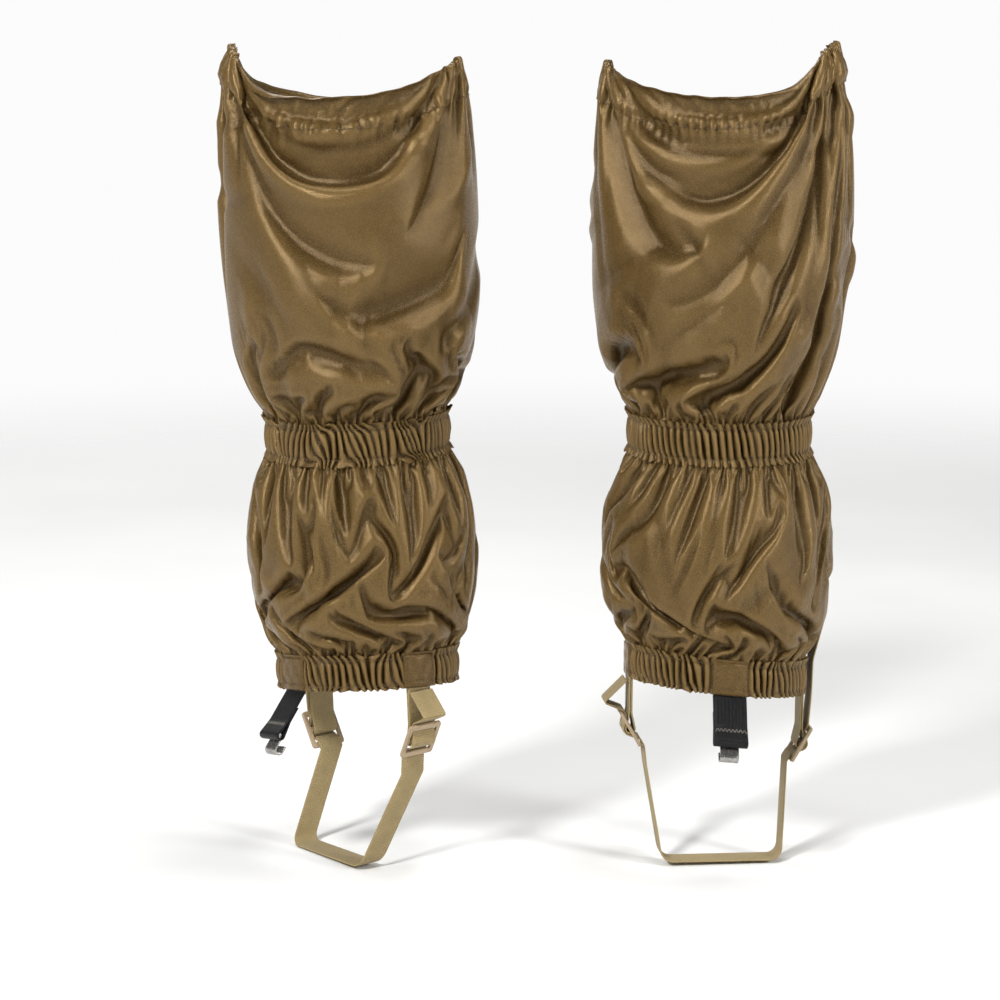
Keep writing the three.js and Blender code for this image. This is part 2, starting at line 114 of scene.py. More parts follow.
class Leg:
    """A gaiter's own frame: x towards its outer side, y backwards, z up the leg."""

    def __init__(self, side):
        record = frame["record"]
        joints = {j["name"]: np.array(j["pos_m"]) for j in frame["joints"] if "pos_m" in j}
        mounts = {m["name"]: m for m in record["mounts"]}
        up = np.array(mounts[f"{side}_sole"]["axis"], float)
        up /= np.linalg.norm(up)
        outer, inner = joints[f"{side}_outer_slide_tilt"], joints[f"{side}_inner_slide_tilt"]
        out = outer - inner
        out -= out @ up * up
        out /= np.linalg.norm(out)
        middle = (outer + inner) / 2
        self.origin = middle - up * (middle[2] / up[2])
        forward = joints[f"{side}_lace_strap_lift"] - self.origin
        forward -= forward @ up * up + forward @ out * out
        forward /= np.linalg.norm(forward)
        self.axes = np.array([out, -forward, up])
        self.mirrored = np.linalg.det(self.axes) < 0
        self.side = side

    def place(self, points):
        return self.origin + np.asarray(points, float) @ self.axes


LEGS = {side: Leg(side) for side in SIDES}


def smoothstep(x, low, high):
    t = np.clip((x - low) / (high - low), 0, 1)
    return t * t * (3 - 2 * t)


def rim_height(angle):
    """How far the rim stands above its level, at angles from its front dip."""
    across = np.cos(angle)
    from_ear = np.arccos(np.cos(angle - EAR_ANGLE))
    return EAR_HEIGHT * np.exp(-(from_ear / EAR_SPREAD) ** 4) \
        - np.where(across > 0, FRONT_DIP, BACK_DIP) * np.abs(across) ** 1.2


def ear_share(angle, spread):
    """1 at the bunched corner of the rim, falling to 0 away from it."""
    return np.exp(-(np.arccos(np.cos(angle - EAR_ANGLE)) / spread) ** 2)


def rim_wobble(angle, seed):
    """Small unevenness of the rim, as drawn up by its cord."""
    rng = np.random.default_rng(seed)
    return sum(rng.normal() * 0.9 * MM / math.sqrt(n) * np.sin(n * angle + rng.random() * TAU)
               for n in range(5, 34, 3))


def hem_height(angle):
    """How far the ankle hem is out of level, at angles from the toes."""
    return FRONT_LIFT * np.cos(angle) - OUTER_DROP * np.sin(angle)


# ---- gathers ------------------------------------------------------------------------------------------------

class Gather:
    """How the cloth is spaced round a ring, and how its spare length stands up in pleats."""

    def __init__(self, seed, pleats, crowded=(), twist=0.0, flat=()):
        self.pleats, self.twist, self.flat = pleats, twist, flat
        fine = np.linspace(0, TAU, 4001)
        density = np.ones_like(fine)
        for angle, width, extra in crowded:
            density += extra * np.exp(-(np.arccos(np.cos(fine + twist - angle)) / width) ** 2)
        steps = (density[1:] + density[:-1]) / 2 * np.diff(fine)
        share = np.concatenate([[0], np.cumsum(steps)])
        self.fine, self.share = fine, share / share[-1]
        self.rng_words = np.random.default_rng(seed).random((12, 2))

    def angle(self, u):
        return np.interp(u % 1.0, self.share, self.fine) + self.twist

    def wander(self, u):
        words = self.rng_words
        return sum((words[k, 0] - 0.5) * 2.4 / n * np.sin(TAU * (n * u + words[k, 1]))
                   for k, n in enumerate((2, 5, 8, 13, 21, 31)))

    def phase(self, u):
        return TAU * self.pleats * u + 4.2 * self.wander(u)

    def uneven(self, u):
        words = self.rng_words
        return 1 + 0.32 * sum(np.sin(TAU * (n * u + words[k, 0])) * 0.6
                              for k, n in ((6, 17), (7, 29), (8, 7)))

    def tame(self, angle):
        """1 where the cloth is gathered, 0 under a flat tab."""
        keep = np.ones_like(angle)
        for centre, half in self.flat:
            keep *= smoothstep(np.arccos(np.cos(angle - centre)), half * 0.9, half * 1.25)
        return keep

    def ring(self, columns, radius, height, strength=1.0, turn=0.0):
        """Points of one gathered edge. height is a number or a function of the angle."""
        u = np.arange(columns) / columns
        angle = self.angle(u) - turn
        level = height(angle) if callable(height) else np.full(columns, height)
        flat = np.stack([radius * np.sin(angle), -radius * np.cos(angle), level], 1)
        along = np.roll(flat, -1, 0) - np.roll(flat, 1, 0)
        step = np.sqrt((along ** 2).sum(1)) / 2
        spare = np.maximum(CUT_WIDTH / columns / step, 1)
        pitch = CUT_WIDTH / self.pleats / spare
        depth = pitch / math.pi * np.sqrt(spare - 1) * strength * self.uneven(u) * self.tame(angle + turn)
        outward = np.stack([np.sin(angle), -np.cos(angle)], 1)
        flat[:, :2] += outward * (depth * np.cos(self.phase(u)))[:, None]
        return flat


# ---- draping ------------------------------------------------------------------------------------------------

class Cloth:
    """A sleeve of cloth as a grid, rows by columns, closed round its columns, held at its first and last rows."""

    def __init__(self, points, across, along):
        self.x = points.astype(np.float32)
        self.v = np.zeros_like(self.x)
        self.across = np.float32(across)
        self.along = np.float32(along)
        self.free = np.ones(points.shape[:2], np.float32)
        self.free[0] = self.free[-1] = 0

    @staticmethod
    def pull(p, q, wp, wq, rest, firm, press_only=False):
        """Moves two sets of points towards their rest distance and returns both moves."""
        d = q - p
        length = np.sqrt(np.einsum("...k,...k->...", d, d)) + np.float32(1e-9)
        both = wp + wq
        share = np.float32(firm) * (length - rest) / (length * np.maximum(both, 1))
        if press_only:
            share = np.minimum(share, 0)
        move = d * share[..., None]
        return move * wp[..., None], move * wq[..., None]

    def round_pass(self, p, step, rest, firm, press_only=False):
        """Links each point with the one `step` columns on, in sets that share no point."""
        for start in range(2 * step):
            a = np.arange(start, start + p.shape[1], 2 * step) % p.shape[1]
            b = (a + step) % p.shape[1]
            ma, mb = self.pull(p[:, a], p[:, b], self.free[:, a], self.free[:, b], rest, firm, press_only)
            p[:, a] += ma
            p[:, b] -= mb

    def up_pass(self, p, step, rest, firm, press_only=False):
        rows = p.shape[0]
        for start in range(2 * step):
            a = np.arange(start, rows - step, 2 * step)
            if not len(a):
                continue
            b = a + step
            ma, mb = self.pull(p[a], p[b], self.free[a], self.free[b], rest, firm, press_only)
            p[a] += ma
            p[b] -= mb

    def slant_pass(self, p, lean, firm):
        rest = np.float32(math.hypot(self.across, self.along))
        wide = np.roll(p, -lean, 1)
        free = np.roll(self.free, -lean, 1)
        for start in (0, 1):
            a = np.arange(start, p.shape[0] - 1, 2)
            b = a + 1
            ma, mb = self.pull(p[a], wide[b], self.free[a], free[b], rest, firm)
            p[a] += ma
            wide[b] -= mb
            p[b] = np.roll(wide[b], lean, 1)
            wide[a] = np.roll(p[a], -lean, 1)

    def settle(self, steps, rounds, weight, puff, inside, outside, drag, stiff):
        dt = np.float32(1 / 120)
        for _ in range(steps):
            push = np.zeros_like(self.x)
            push[..., 2] -= np.float32(weight)
            push += np.float32(puff) * normals(self.x).astype(np.float32)
            self.v += push * dt * self.free[..., None]
            self.v *= np.float32(1 - drag)
            p = self.x + self.v * dt
            for _ in range(rounds):
                self.round_pass(p, 1, self.across, 1.0)
                self.up_pass(p, 1, self.along, 1.0)
                self.slant_pass(p, 1, 0.35)
                self.slant_pass(p, -1, 0.35)
                self.round_pass(p, 2, 2 * self.across, stiff, True)
                self.up_pass(p, 2, 2 * self.along, stiff, True)
            radius = np.hypot(p[..., 0], p[..., 1]) + 1e-9
            angle = np.arctan2(p[..., 0], -p[..., 1])
            low, high = inside(p[..., 2]), outside(p[..., 2], angle)
            scale = np.where(radius < low, low / radius, 1)
            scale = np.where(radius > high, 1 + 0.5 * (high / radius - 1), scale)
            p[..., :2] *= np.where(self.free > 0, scale, 1)[..., None].astype(np.float32)
            self.v = (p - self.x) / dt
            self.x = p


def normals(grid):
    """Outward unit normals of a sleeve's grid: rows go up the leg, and columns from the front to the outer side."""
    across = np.roll(grid, -1, 1) - np.roll(grid, 1, 1)
    up = np.empty_like(grid)
    up[1:-1] = grid[2:] - grid[:-2]
    up[0] = grid[1] - grid[0]
    up[-1] = grid[-1] - grid[-2]
    n = np.cross(across, up)
    return n / (np.sqrt((n * n).sum(-1))[..., None] + 1e-12)


def finer(grid, rows, columns):
    """The same sleeve with more rows and columns, on smooth lines through its points."""
    r0, c0 = grid.shape[:2]
    at = np.arange(columns) * c0 / columns
    base = np.floor(at).astype(int)
    t = (at - base)[None, :, None]
    a, b, c, d = (grid[:, (base + k) % c0] for k in (-1, 0, 1, 2))
    wide = 0.5 * (2 * b + (c - a) * t + (2 * a - 5 * b + 4 * c - d) * t * t + (3 * b - a - 3 * c + d) * t ** 3)
    at = np.arange(rows) * (r0 - 1) / (rows - 1)
    base = np.minimum(np.floor(at).astype(int), r0 - 2)
    t = (at - base)[:, None, None]
    a, b, c, d = (wide[np.clip(base + k, 0, r0 - 1)] for k in (-1, 0, 1, 2))
    return 0.5 * (2 * b + (c - a) * t + (2 * a - 5 * b + 4 * c - d) * t * t + (3 * b - a - 3 * c + d) * t ** 3)


def drape(seed, bottom, top, profile, cut_height, passes, inside, outside, puff):
    """Hangs a sleeve between two gathered rings, on grids from coarse to fine.

    bottom and top give a ring for a number of columns; inside and outside give the least and most radius at a height.
    """
    grid = None
    rng = np.random.default_rng(seed)
    for n, (columns, rows, steps, rounds, weight, stiff) in enumerate(passes):
        low, high = bottom(columns), top(columns)
        if grid is None:
            t = np.linspace(0, 1, rows)[:, None]
            radius = np.interp(t[:, 0], [p[1] for p in profile], [p[0] for p in profile])[:, None]
            a0 = np.unwrap(np.arctan2(low[:, 0], -low[:, 1]))
            a1 = np.unwrap(np.arctan2(high[:, 0], -high[:, 1]))
            a1 += np.round((a0.mean() - a1.mean()) / TAU) * TAU
            angle = (1 - t) * a0 + t * a1
            level = (1 - t) * low[:, 2] + t * high[:, 2]
            u = np.arange(columns) / columns * TAU
            ripple = np.zeros((rows, columns))
            for _ in range(14):
                a, b = rng.integers(2, 12), rng.integers(1, 6)
                ripple += rng.normal() * 0.0012 * np.sin(a * u + rng.random() * TAU) \
                    * np.sin(math.pi * b * t + rng.random() * TAU)
            radius = radius + ripple * np.sin(math.pi * t)
            grid = np.stack([radius * np.sin(angle), -radius * np.cos(angle), level], -1)
        else:
            grid = finer(grid, rows, columns)
        grid[0], grid[-1] = low, high
        cloth = Cloth(grid, CUT_WIDTH / columns, cut_height / (rows - 1))
        cloth.settle(steps, rounds, weight, puff * weight, inside, outside, 0.04 if n == 0 else 0.08, stiff)
        grid = cloth.x.astype(float)
    return grid


# ---- meshes -------------------------------------------------------------------------------------------------

def make_mesh(name, points, faces, materials, uv=None, fold=None, sharp=60):
    """A finished piece: its place is in its mesh, and its object sits at the origin."""
    mesh = bpy.data.meshes.new(name)
    mesh.from_pydata(np.asarray(points, float).tolist(), [], [list(map(int, f)) for f in faces])
    if uv is not None:
        layer = mesh.uv_layers.new(name="cloth")
        layer.data.foreach_set("uv", np.asarray(uv, np.float32).ravel())
    if fold is not None:
        attribute = mesh.attributes.new("fold", "FLOAT", "POINT")
        attribute.data.foreach_set("value", np.asarray(fold, np.float32).ravel())
    mesh.shade_smooth()
    if sharp:
        mesh.set_sharp_from_angle(angle=math.radians(sharp))
    made = bpy.data.objects.new(name, mesh)
    bpy.context.scene.collection.objects.link(made)
    for material in materials if isinstance(materials, (list, tuple)) else [materials]:
        mesh.materials.append(material)
    return made


def folds(grid):
    """0.5 where the cloth is flat, more on a ridge and less in a valley."""
    reach = grid.shape[1] // 240
    smooth = grid.copy()
    for _ in range(4):
        smooth = (smooth + np.roll(smooth, reach, 1) + np.roll(smooth, -reach, 1)) / 3
        smooth[1:-1] = (smooth[1:-1] + smooth[2:] + smooth[:-2]) / 3
    height = ((grid - smooth) * normals(smooth)).sum(-1)
    return np.clip(0.5 + height / (1.6 * MM), 0, 1)


def closed_sleeve(outer, inner):
    """Points, faces, map and folds of a double-walled sleeve, from its outer and inner grids."""
    rows, columns = outer.shape[:2]
    points = np.concatenate([outer.reshape(-1, 3), inner.reshape(-1, 3)])
    j, i = np.meshgrid(np.arange(rows - 1), np.arange(columns), indexing="ij")
    k = (i + 1) % columns
    front = np.stack([j * columns + i, j * columns + k, (j + 1) * columns + k, (j + 1) * columns + i], -1)
    back = front[..., ::-1] + rows * columns
    i0 = np.arange(columns)
    k0 = (i0 + 1) % columns
    base = rows * columns
    low = np.stack([base + i0, base + k0, k0, i0], -1)
    up = (rows - 1) * columns
    top = np.stack([up + i0, up + k0, base + up + k0, base + up + i0], -1)
    faces = np.concatenate([front.reshape(-1, 4), back.reshape(-1, 4), low, top])
    pitch = CUT_WIDTH / columns
    start = np.where(i < columns // 2, i, i - columns) * pitch
    step = np.sqrt(((outer[1:] - outer[:-1]) ** 2).sum(-1)).mean(1)
    rise = np.concatenate([[0], np.cumsum(step)])
    v0, v1 = np.broadcast_to(rise[:-1, None], i.shape), np.broadcast_to(rise[1:, None], i.shape)
    mapped = np.stack([np.stack([start, v0], -1), np.stack([start + pitch, v0], -1),
                       np.stack([start + pitch, v1], -1), np.stack([start, v1], -1)], 2)
    s0 = np.where(i0 < columns // 2, i0, i0 - columns) * pitch
    edge = np.stack([np.stack([s0, s0 * 0], -1), np.stack([s0 + pitch, s0 * 0], -1),
                     np.stack([s0 + pitch, s0 * 0 + 0.001], -1), np.stack([s0, s0 * 0 + 0.001], -1)], 1)
    uv = np.concatenate([mapped.reshape(-1, 4, 2), mapped[:, :, ::-1].reshape(-1, 4, 2), edge, edge])
    # The fold measure drives painted shade in the valleys and a painted highlight on the ridges in the cloth's colour.
    shade = folds(outer).ravel()
    return points, faces, uv, np.concatenate([shade, shade])


def sleeve_piece(name, leg, outer, inner, material):
    points, faces, uv, fold = closed_sleeve(outer, inner)
    if leg.mirrored:
        faces, uv = faces[:, ::-1], uv[:, ::-1]
    return make_mesh(name, leg.place(points), faces, material, uv.reshape(-1, 2), fold)


def ribbon(path, across, width, thickness):
    """A strap along a path of points: points, faces and map. across is its sideways direction."""
    path = np.asarray(path, float)
    count = len(path)
    across = np.broadcast_to(np.asarray(across, float), path.shape)
    along = np.empty_like(path)
    along[1:-1] = path[2:] - path[:-2]
    along[0], along[-1] = path[1] - path[0], path[-1] - path[-2]
    along /= np.linalg.norm(along, axis=1)[:, None]
    lift = np.cross(across, along)
    lift /= np.linalg.norm(lift, axis=1)[:, None]
    half, r = width / 2, thickness / 2
    flat = np.linspace(half - r, r - half, 13)
    turn = np.linspace(0, math.pi, 5)[1:-1]
    section = [(a, r) for a in flat] + [(r - half - r * math.sin(t), r * math.cos(t)) for t in turn] \
        + [(a, -r) for a in flat[::-1]] + [(half - r + r * math.sin(t), -r * math.cos(t)) for t in turn]
    section = np.array(section)
    m = len(section)
    points = path[:, None] + across[:, None] * section[None, :, :1] + lift[:, None] * section[None, :, 1:]
    rise = np.concatenate([[0], np.cumsum(np.linalg.norm(np.diff(path, axis=0), axis=1))])
    faces, uv = [], []
    for j in range(count - 1):
        for i in range(m):
            k = (i + 1) % m
            faces.append((j * m + i, (j + 1) * m + i, (j + 1) * m + k, j * m + k))
            uv += [(section[i, 0], rise[j]), (section[i, 0], rise[j + 1]),
                   (section[k, 0], rise[j + 1]), (section[k, 0], rise[j])]
    faces.append(tuple(range(m)))
    uv += [(section[i, 0], section[i, 1]) for i in range(m)]
    faces.append(tuple((count - 1) * m + i for i in reversed(range(m))))
    uv += [(section[i, 0], section[i, 1]) for i in reversed(range(m))]
    return points.reshape(-1, 3), faces, uv


def strap_piece(name, leg, made, material, inside_out=False):
    points, faces, uv = made
    counts = [len(f) for f in faces]
    if leg.mirrored != inside_out:
        starts = np.cumsum([0] + counts)
        uv = [uv[i] for a, b in zip(starts[:-1], starts[1:]) for i in reversed(range(a, b))]
        faces = [tuple(reversed(f)) for f in faces]
    return make_mesh(name, leg.place(points), faces, material, uv, sharp=50)


def rounded(corners, steps=7):
    """Points of a path with rounded corners. Each corner is (outwards, upwards, radius)."""
    at = [np.array(c[:2], float) for c in corners]
    points = [at[0]]
    for i in range(1, len(at) - 1):
        back = (at[i - 1] - at[i]) / np.linalg.norm(at[i - 1] - at[i])
        on = (at[i + 1] - at[i]) / np.linalg.norm(at[i + 1] - at[i])
        half = math.acos(max(-1, min(1, back @ on))) / 2
        radius = corners[i][2] if len(corners[i]) > 2 else 2.4 * MM
        reach = radius / math.tan(half)
        middle = (back + on) / np.linalg.norm(back + on)
        centre = at[i] + middle * radius / math.sin(half)
        first, last = at[i] + back * reach - centre, at[i] + on * reach - centre
        turn = math.atan2(first[0] * last[1] - first[1] * last[0], first @ last)
        for k in range(steps + 1):
            c, s = math.cos(turn * k / steps), math.sin(turn * k / steps)
            points.append(centre + np.array([c * first[0] - s * first[1], s * first[0] + c * first[1]]))
    return np.array(points + [at[-1]])


def spaced(points, pitch):
    """The same line with points at an even pitch."""
    points = np.asarray(points, float)
    rise = np.concatenate([[0], np.cumsum(np.linalg.norm(np.diff(points, axis=0), axis=1))])
    at = np.linspace(0, rise[-1], max(2, int(round(rise[-1] / pitch)) + 1))
    return np.stack([np.interp(at, rise, points[:, k]) for k in range(points.shape[1])], 1)


def moulded(name, node, material, radius, segments=3):
    """A copy of a hard part with its corners rounded."""
    made = bmesh.new()
    made.from_mesh(frame["nodes"][node].data)
    bmesh.ops.remove_doubles(made, verts=made.verts, dist=1e-5)
    bmesh.ops.dissolve_limit(made, angle_limit=math.radians(2), verts=made.verts, edges=made.edges)
    bmesh.ops.recalc_face_normals(made, faces=made.faces)
    corners = [e for e in made.edges if len(e.link_faces) == 2 and e.calc_face_angle(0) > math.radians(25)]
    bmesh.ops.bevel(made, geom=corners, offset=radius, segments=segments, affect="EDGES", profile=0.6,
                    clamp_overlap=True)
    bmesh.ops.triangulate(made, faces=made.faces)
    mesh = bpy.data.meshes.new(name)
    made.to_mesh(mesh)
    made.free()
    mesh.materials.clear()
    mesh.materials.append(material)
    mesh.shade_smooth()
    mesh.set_sharp_from_angle(angle=math.radians(35))
    piece = bpy.data.objects.new(name, mesh)
    bpy.context.scene.collection.objects.link(piece)
    return piece


def fit(piece, body, slot, node=None):
    """The piece moves with its body and stands for a node of the frame; its slot is not used."""
    if node:
        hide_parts(node)
    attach(piece, body)
    return piece


# ---- stitching ----------------------------------------------------------------------------------------------

def stitching_tree():
    """Lays thread stitches end to end along lines of edges."""
    tree = bpy.data.node_groups.get("Stitching")
    if tree:
        return tree
    tree = bpy.data.node_groups.new("Stitching", "GeometryNodeTree")
    face = tree.interface
    face.new_socket("Seam Lines", in_out="INPUT", socket_type="NodeSocketGeometry")
    for name, value in (("Pitch", 0.0026), ("Stitch Length", 0.0021), ("Thread Width", 0.0005)):
        face.new_socket(name, in_out="INPUT", socket_type="NodeSocketFloat").default_value = value
    face.new_socket("Thread", in_out="INPUT", socket_type="NodeSocketMaterial")
    face.new_socket("Stitches", in_out="OUTPUT", socket_type="NodeSocketGeometry")
    node, link = tree.nodes.new, tree.links.new
    start, end = node("NodeGroupInput"), node("NodeGroupOutput")
    line, even = node("GeometryNodeMeshToCurve"), node("GeometryNodeResampleCurve")
    even.mode = "LENGTH"
    shape, size, scale = node("GeometryNodeMeshUVSphere"), node("GeometryNodeTransform"), node("ShaderNodeCombineXYZ")
    shape.inputs["Segments"].default_value = 6
    shape.inputs["Rings"].default_value = 4
    shape.inputs["Radius"].default_value = 0.5
    tangent, turn = node("GeometryNodeInputTangent"), node("FunctionNodeAlignRotationToVector")
    turn.axis = "Z"
    copies, real, paint = node("GeometryNodeInstanceOnPoints"), node("GeometryNodeRealizeInstances"), \
        node("GeometryNodeSetMaterial")
    link(start.outputs["Seam Lines"], line.inputs["Mesh"])
    link(line.outputs["Curve"], even.inputs["Curve"])
    link(start.outputs["Pitch"], even.inputs["Length"])
    link(start.outputs["Thread Width"], scale.inputs["X"])
    link(start.outputs["Thread Width"], scale.inputs["Y"])
    link(start.outputs["Stitch Length"], scale.inputs["Z"])
    link(shape.outputs["Mesh"], size.inputs["Geometry"])
    link(scale.outputs["Vector"], size.inputs["Scale"])
    link(tangent.outputs["Tangent"], turn.inputs["Vector"])
    link(even.outputs["Curve"], copies.inputs["Points"])
    link(size.outputs["Geometry"], copies.inputs["Instance"])
    link(turn.outputs["Rotation"], copies.inputs["Rotation"])
    link(copies.outputs["Instances"], real.inputs["Geometry"])
    link(real.outputs["Geometry"], paint.inputs["Geometry"])
    link(start.outputs["Thread"], paint.inputs["Material"])
    link(paint.outputs["Geometry"], end.inputs["Stitches"])
    return tree


def stitches(name, lines, thread, pitch=2.6 * MM, length=2.1 * MM, width=0.5 * MM):
    """One mesh of all the stitches along these lines, each an array of points in the row frame."""
    points, edges = [], []
    for line in lines:
        base = len(points)
        points += [tuple(p) for p in line]
        edges += [(base + i, base + i + 1) for i in range(len(line) - 1)]
    mesh = bpy.data.meshes.new(name + "_lines")
    mesh.from_pydata(points, edges, [])
    carrier = bpy.data.objects.new(name + "_lines", mesh)
    bpy.context.scene.collection.objects.link(carrier)
    modifier = carrier.modifiers.new("Stitching", "NODES")
    modifier.node_group = stitching_tree()
    values = {"Pitch": pitch, "Stitch Length": length, "Thread Width": width, "Thread": thread}
    for item in modifier.node_group.interface.items_tree:
        if item.in_out == "INPUT" and item.name in values:
            modifier[item.identifier] = values[item.name]
    bpy.context.view_layer.update()
    graph = bpy.context.evaluated_depsgraph_get()
    result = bpy.data.meshes.new_from_object(carrier.evaluated_get(graph))
    bpy.data.objects.remove(carrier)
    if not result.polygons:
        raise RuntimeError(f"{name} has no stitches")
    result.name = name
    result.shade_smooth()
    made = bpy.data.objects.new(name, result)
    bpy.context.scene.collection.objects.link(made)
    return made


# ---- finishes -----------------------------------------------------------------------------------------------

class Amount:
    """A number that varies over a surface, with ordinary arithmetic."""

    def __init__(self, finish, socket):
        self.finish, self.socket = finish, socket

    def sum_with(self, operation, a, b=None):
        node = self.finish.tree.nodes.new("ShaderNodeMath")
        node.operation = operation
        for slot, value in zip(node.inputs, (a, b)):
            if isinstance(value, Amount):
                self.finish.tree.links.new(value.socket, slot)
            elif value is not None:
                slot.default_value = value
        return Amount(self.finish, node.outputs[0])

    def __add__(self, other): return self.sum_with("ADD", self, other)
    def __radd__(self, other): return self.sum_with("ADD", other, self)
    def __sub__(self, other): return self.sum_with("SUBTRACT", self, other)
    def __rsub__(self, other): return self.sum_with("SUBTRACT", other, self)
    def __mul__(self, other): return self.sum_with("MULTIPLY", self, other)
    def __rmul__(self, other): return self.sum_with("MULTIPLY", other, self)
    def __truediv__(self, other): return self.sum_with("DIVIDE", self, other)
    def __pow__(self, other): return self.sum_with("POWER", self, other)
    def sine(self): return self.sum_with("SINE", self)
    def absolute(self): return self.sum_with("ABSOLUTE", self)


class Finish:
    """One material, written as a few lines of maths."""

    def __init__(self, name, **constants):
        self.material = bpy.data.materials.new(name)
        self.material.use_nodes = True
        self.tree = self.material.node_tree
        self.surface = self.tree.nodes["Principled BSDF"]
        for socket, value in constants.items():
            self.surface.inputs[socket.replace("_", " ")].default_value = value

    def node(self, kind, settings=None, **values):
        node = self.tree.nodes.new(kind)
        for key, value in (settings or {}).items():
            if key == "stops":
                ramp = node.color_ramp
                while len(ramp.elements) < len(value):
                    ramp.elements.new(0.5)
                for element, (place, colour) in zip(ramp.elements, value):
                    element.position, element.color = place, (*colour, 1)
            else:
                setattr(node, key, value)
        for key, value in values.items():
            socket = node.inputs[int(key[1:])] if key[0] == "i" and key[1:].isdigit() \
                else node.inputs[key.replace("_", " ")]
            if isinstance(value, Amount):
                self.tree.links.new(value.socket, socket)
            else:
                socket.default_value = value
        return node

    def out(self, node, name=0):
        return Amount(self, node.outputs[name])

    def place(self):
        return self.out(self.node("ShaderNodeTexCoord"), "Object")

    def map(self):
        return self.out(self.node("ShaderNodeUVMap", {"uv_map": "cloth"}))

    def parts(self, vector):
        node = self.node("ShaderNodeSeparateXYZ", Vector=vector)
        return [self.out(node, k) for k in ("X", "Y", "Z")]

    def noise(self, vector, scale, detail=3.0, rough=0.55, name="Fac"):
        return self.out(self.node("ShaderNodeTexNoise", Vector=vector, Scale=scale, Detail=detail,
                                  Roughness=rough), name)

    def fold(self):
        return self.out(self.node("ShaderNodeAttribute", {"attribute_name": "fold"}), "Fac")

    def ramp(self, value, stops):
        return self.out(self.node("ShaderNodeValToRGB", {"stops": stops}, Fac=value))

    def blend(self, share, one, other, mode="MIX"):
        node = self.node("ShaderNodeMix", {"data_type": "RGBA", "blend_type": mode, "clamp_factor": True})
        for index, value in ((0, share), (6, one), (7, other)):
            if isinstance(value, Amount):
                self.tree.links.new(value.socket, node.inputs[index])
            else:
                node.inputs[index].default_value = value if index == 0 else (*value, 1)
        return self.out(node, 2)

    def paint(self, **links):
        for socket, value in links.items():
            self.tree.links.new(value.socket, self.surface.inputs[socket.replace("_", " ")])
        return self

    def bumps(self, *layers):
        """Each layer is (height, depth in metres)."""
        last = None
        for height, depth in layers:
            node = self.node("ShaderNodeBump", Height=height, Distance=depth, Strength=1.0)
            if last is not None:
                self.tree.links.new(last, node.inputs["Normal"])
            last = node.outputs["Normal"]
        self.tree.links.new(last, self.surface.inputs["Normal"])
        return self


def linear(colour):
    """A display colour, 0 to 255, as the renderer's own."""
    return tuple((c / 255 / 12.92) if c <= 10 else ((c / 255 + 0.055) / 1.055) ** 2.4 for c in colour)


def cloth_finish(name, light, dark, gloss, depth=0.42):
    """Coated nylon: a fine twill under a thin coating, crumpled, with a painted highlight along its ridges, painted
    shade in its valleys and painted glints in pale specks.
    """
    f = Finish(name, Specular_IOR_Level=0.42, Specular_Tint=(1.0, 0.80, 0.56, 1.0), Metallic=0.22)
    where, cut = f.place(), f.map()
    u, v, _ = f.parts(cut)
    twill = ((u + v) * (TAU / 0.00072)).sine() * 0.5 + ((v - u * 0.35) * (TAU / 0.00045)).sine() * 0.25 + 0.5
    crumple = f.noise(where, 95, 4, 0.6)
    broad = f.noise(where, 14, 3, 0.5)
    grain = f.noise(where, 2100, 2, 0.6)
    ridge = f.fold()
    # Painted shade and highlight: the fold term darkens the valleys and lightens the ridges; the noise terms are the
    # cloth's own uneven tone.
    shade = (ridge - 0.5) * depth + crumple * 0.10 + broad * 0.22 + grain * 0.40 + 0.10
    colour = f.ramp(shade, [(0.12, dark), (0.5, tuple((a + b) / 2 for a, b in zip(dark, light))), (0.9, light)])
    # Pale specks where the grain peaks are painted glints.
    colour_with_glints = f.blend((grain - 0.56) * 5.0, colour, tuple(min(1, c * 1.7) for c in light))
    rough = gloss + (crumple - 0.5) * 0.10 + (grain - 0.5) * 0.30
    f.paint(Base_Color=colour_with_glints, Roughness=rough)
    f.bumps((twill, 0.00004), (grain, 0.00005), (f.noise(where, 210, 3, 0.5), 0.00005), (crumple, 0.00022))
    return f.material


def webbing_finish(name, light, dark, gloss, rib=0.0017, relief=1.0, gleam=0.4, sheen=0.1):
    """Ribbed webbing: rows of flat yarn across the strap, with a firm edge."""
    f = Finish(name, Specular_IOR_Level=gleam, Sheen_Weight=sheen)
    where, cut = f.place(), f.map()
    u, v, _ = f.parts(cut)
    chevron = (u * (TAU / 0.0052)).sine().absolute() * 0.0009
    rows = ((v + chevron) * (TAU / rib)).sine() * 0.5 + 0.5
    ends = (u * (TAU / 0.00105)).sine() * 0.5 + 0.5
    wear = f.noise(where, 130, 3, 0.6)
    fibre = f.noise(where, 1900, 2, 0.6)
    edge = u.absolute() * 100
    shade = rows * 0.34 + ends * 0.22 + wear * 0.4 + fibre * 0.3 - 0.12 + edge * 0.10
    f.paint(Base_Color=f.ramp(shade, [(0.15, dark), (0.85, light)]), Roughness=gloss + (fibre - 0.5) * 0.25)
    f.bumps((fibre, 0.00015 * relief), (ends, 0.00012 * relief), (rows, 0.00028 * relief))
    return f.material


def plastic_finish(name, light, dark):
    """Moulded plastic with a satin skin, faint flow marks and rubbed edges."""
    f = Finish(name, Specular_IOR_Level=0.5, Coat_Roughness=0.35)
    where = f.place()
    flow, skin = f.noise(where, 60, 4, 0.6), f.noise(where, 1400, 3, 0.7)
    rub = f.noise(where, 260, 3, 0.6)
    f.paint(Base_Color=f.ramp(flow * 0.6 + skin * 0.3 + rub * 0.25, [(0.3, dark), (0.85, light)]),
            Roughness=0.36 + (skin - 0.5) * 0.25 + (rub - 0.5) * 0.15)
    f.bumps((skin, 0.00012), (rub, 0.0002))
    return f.material


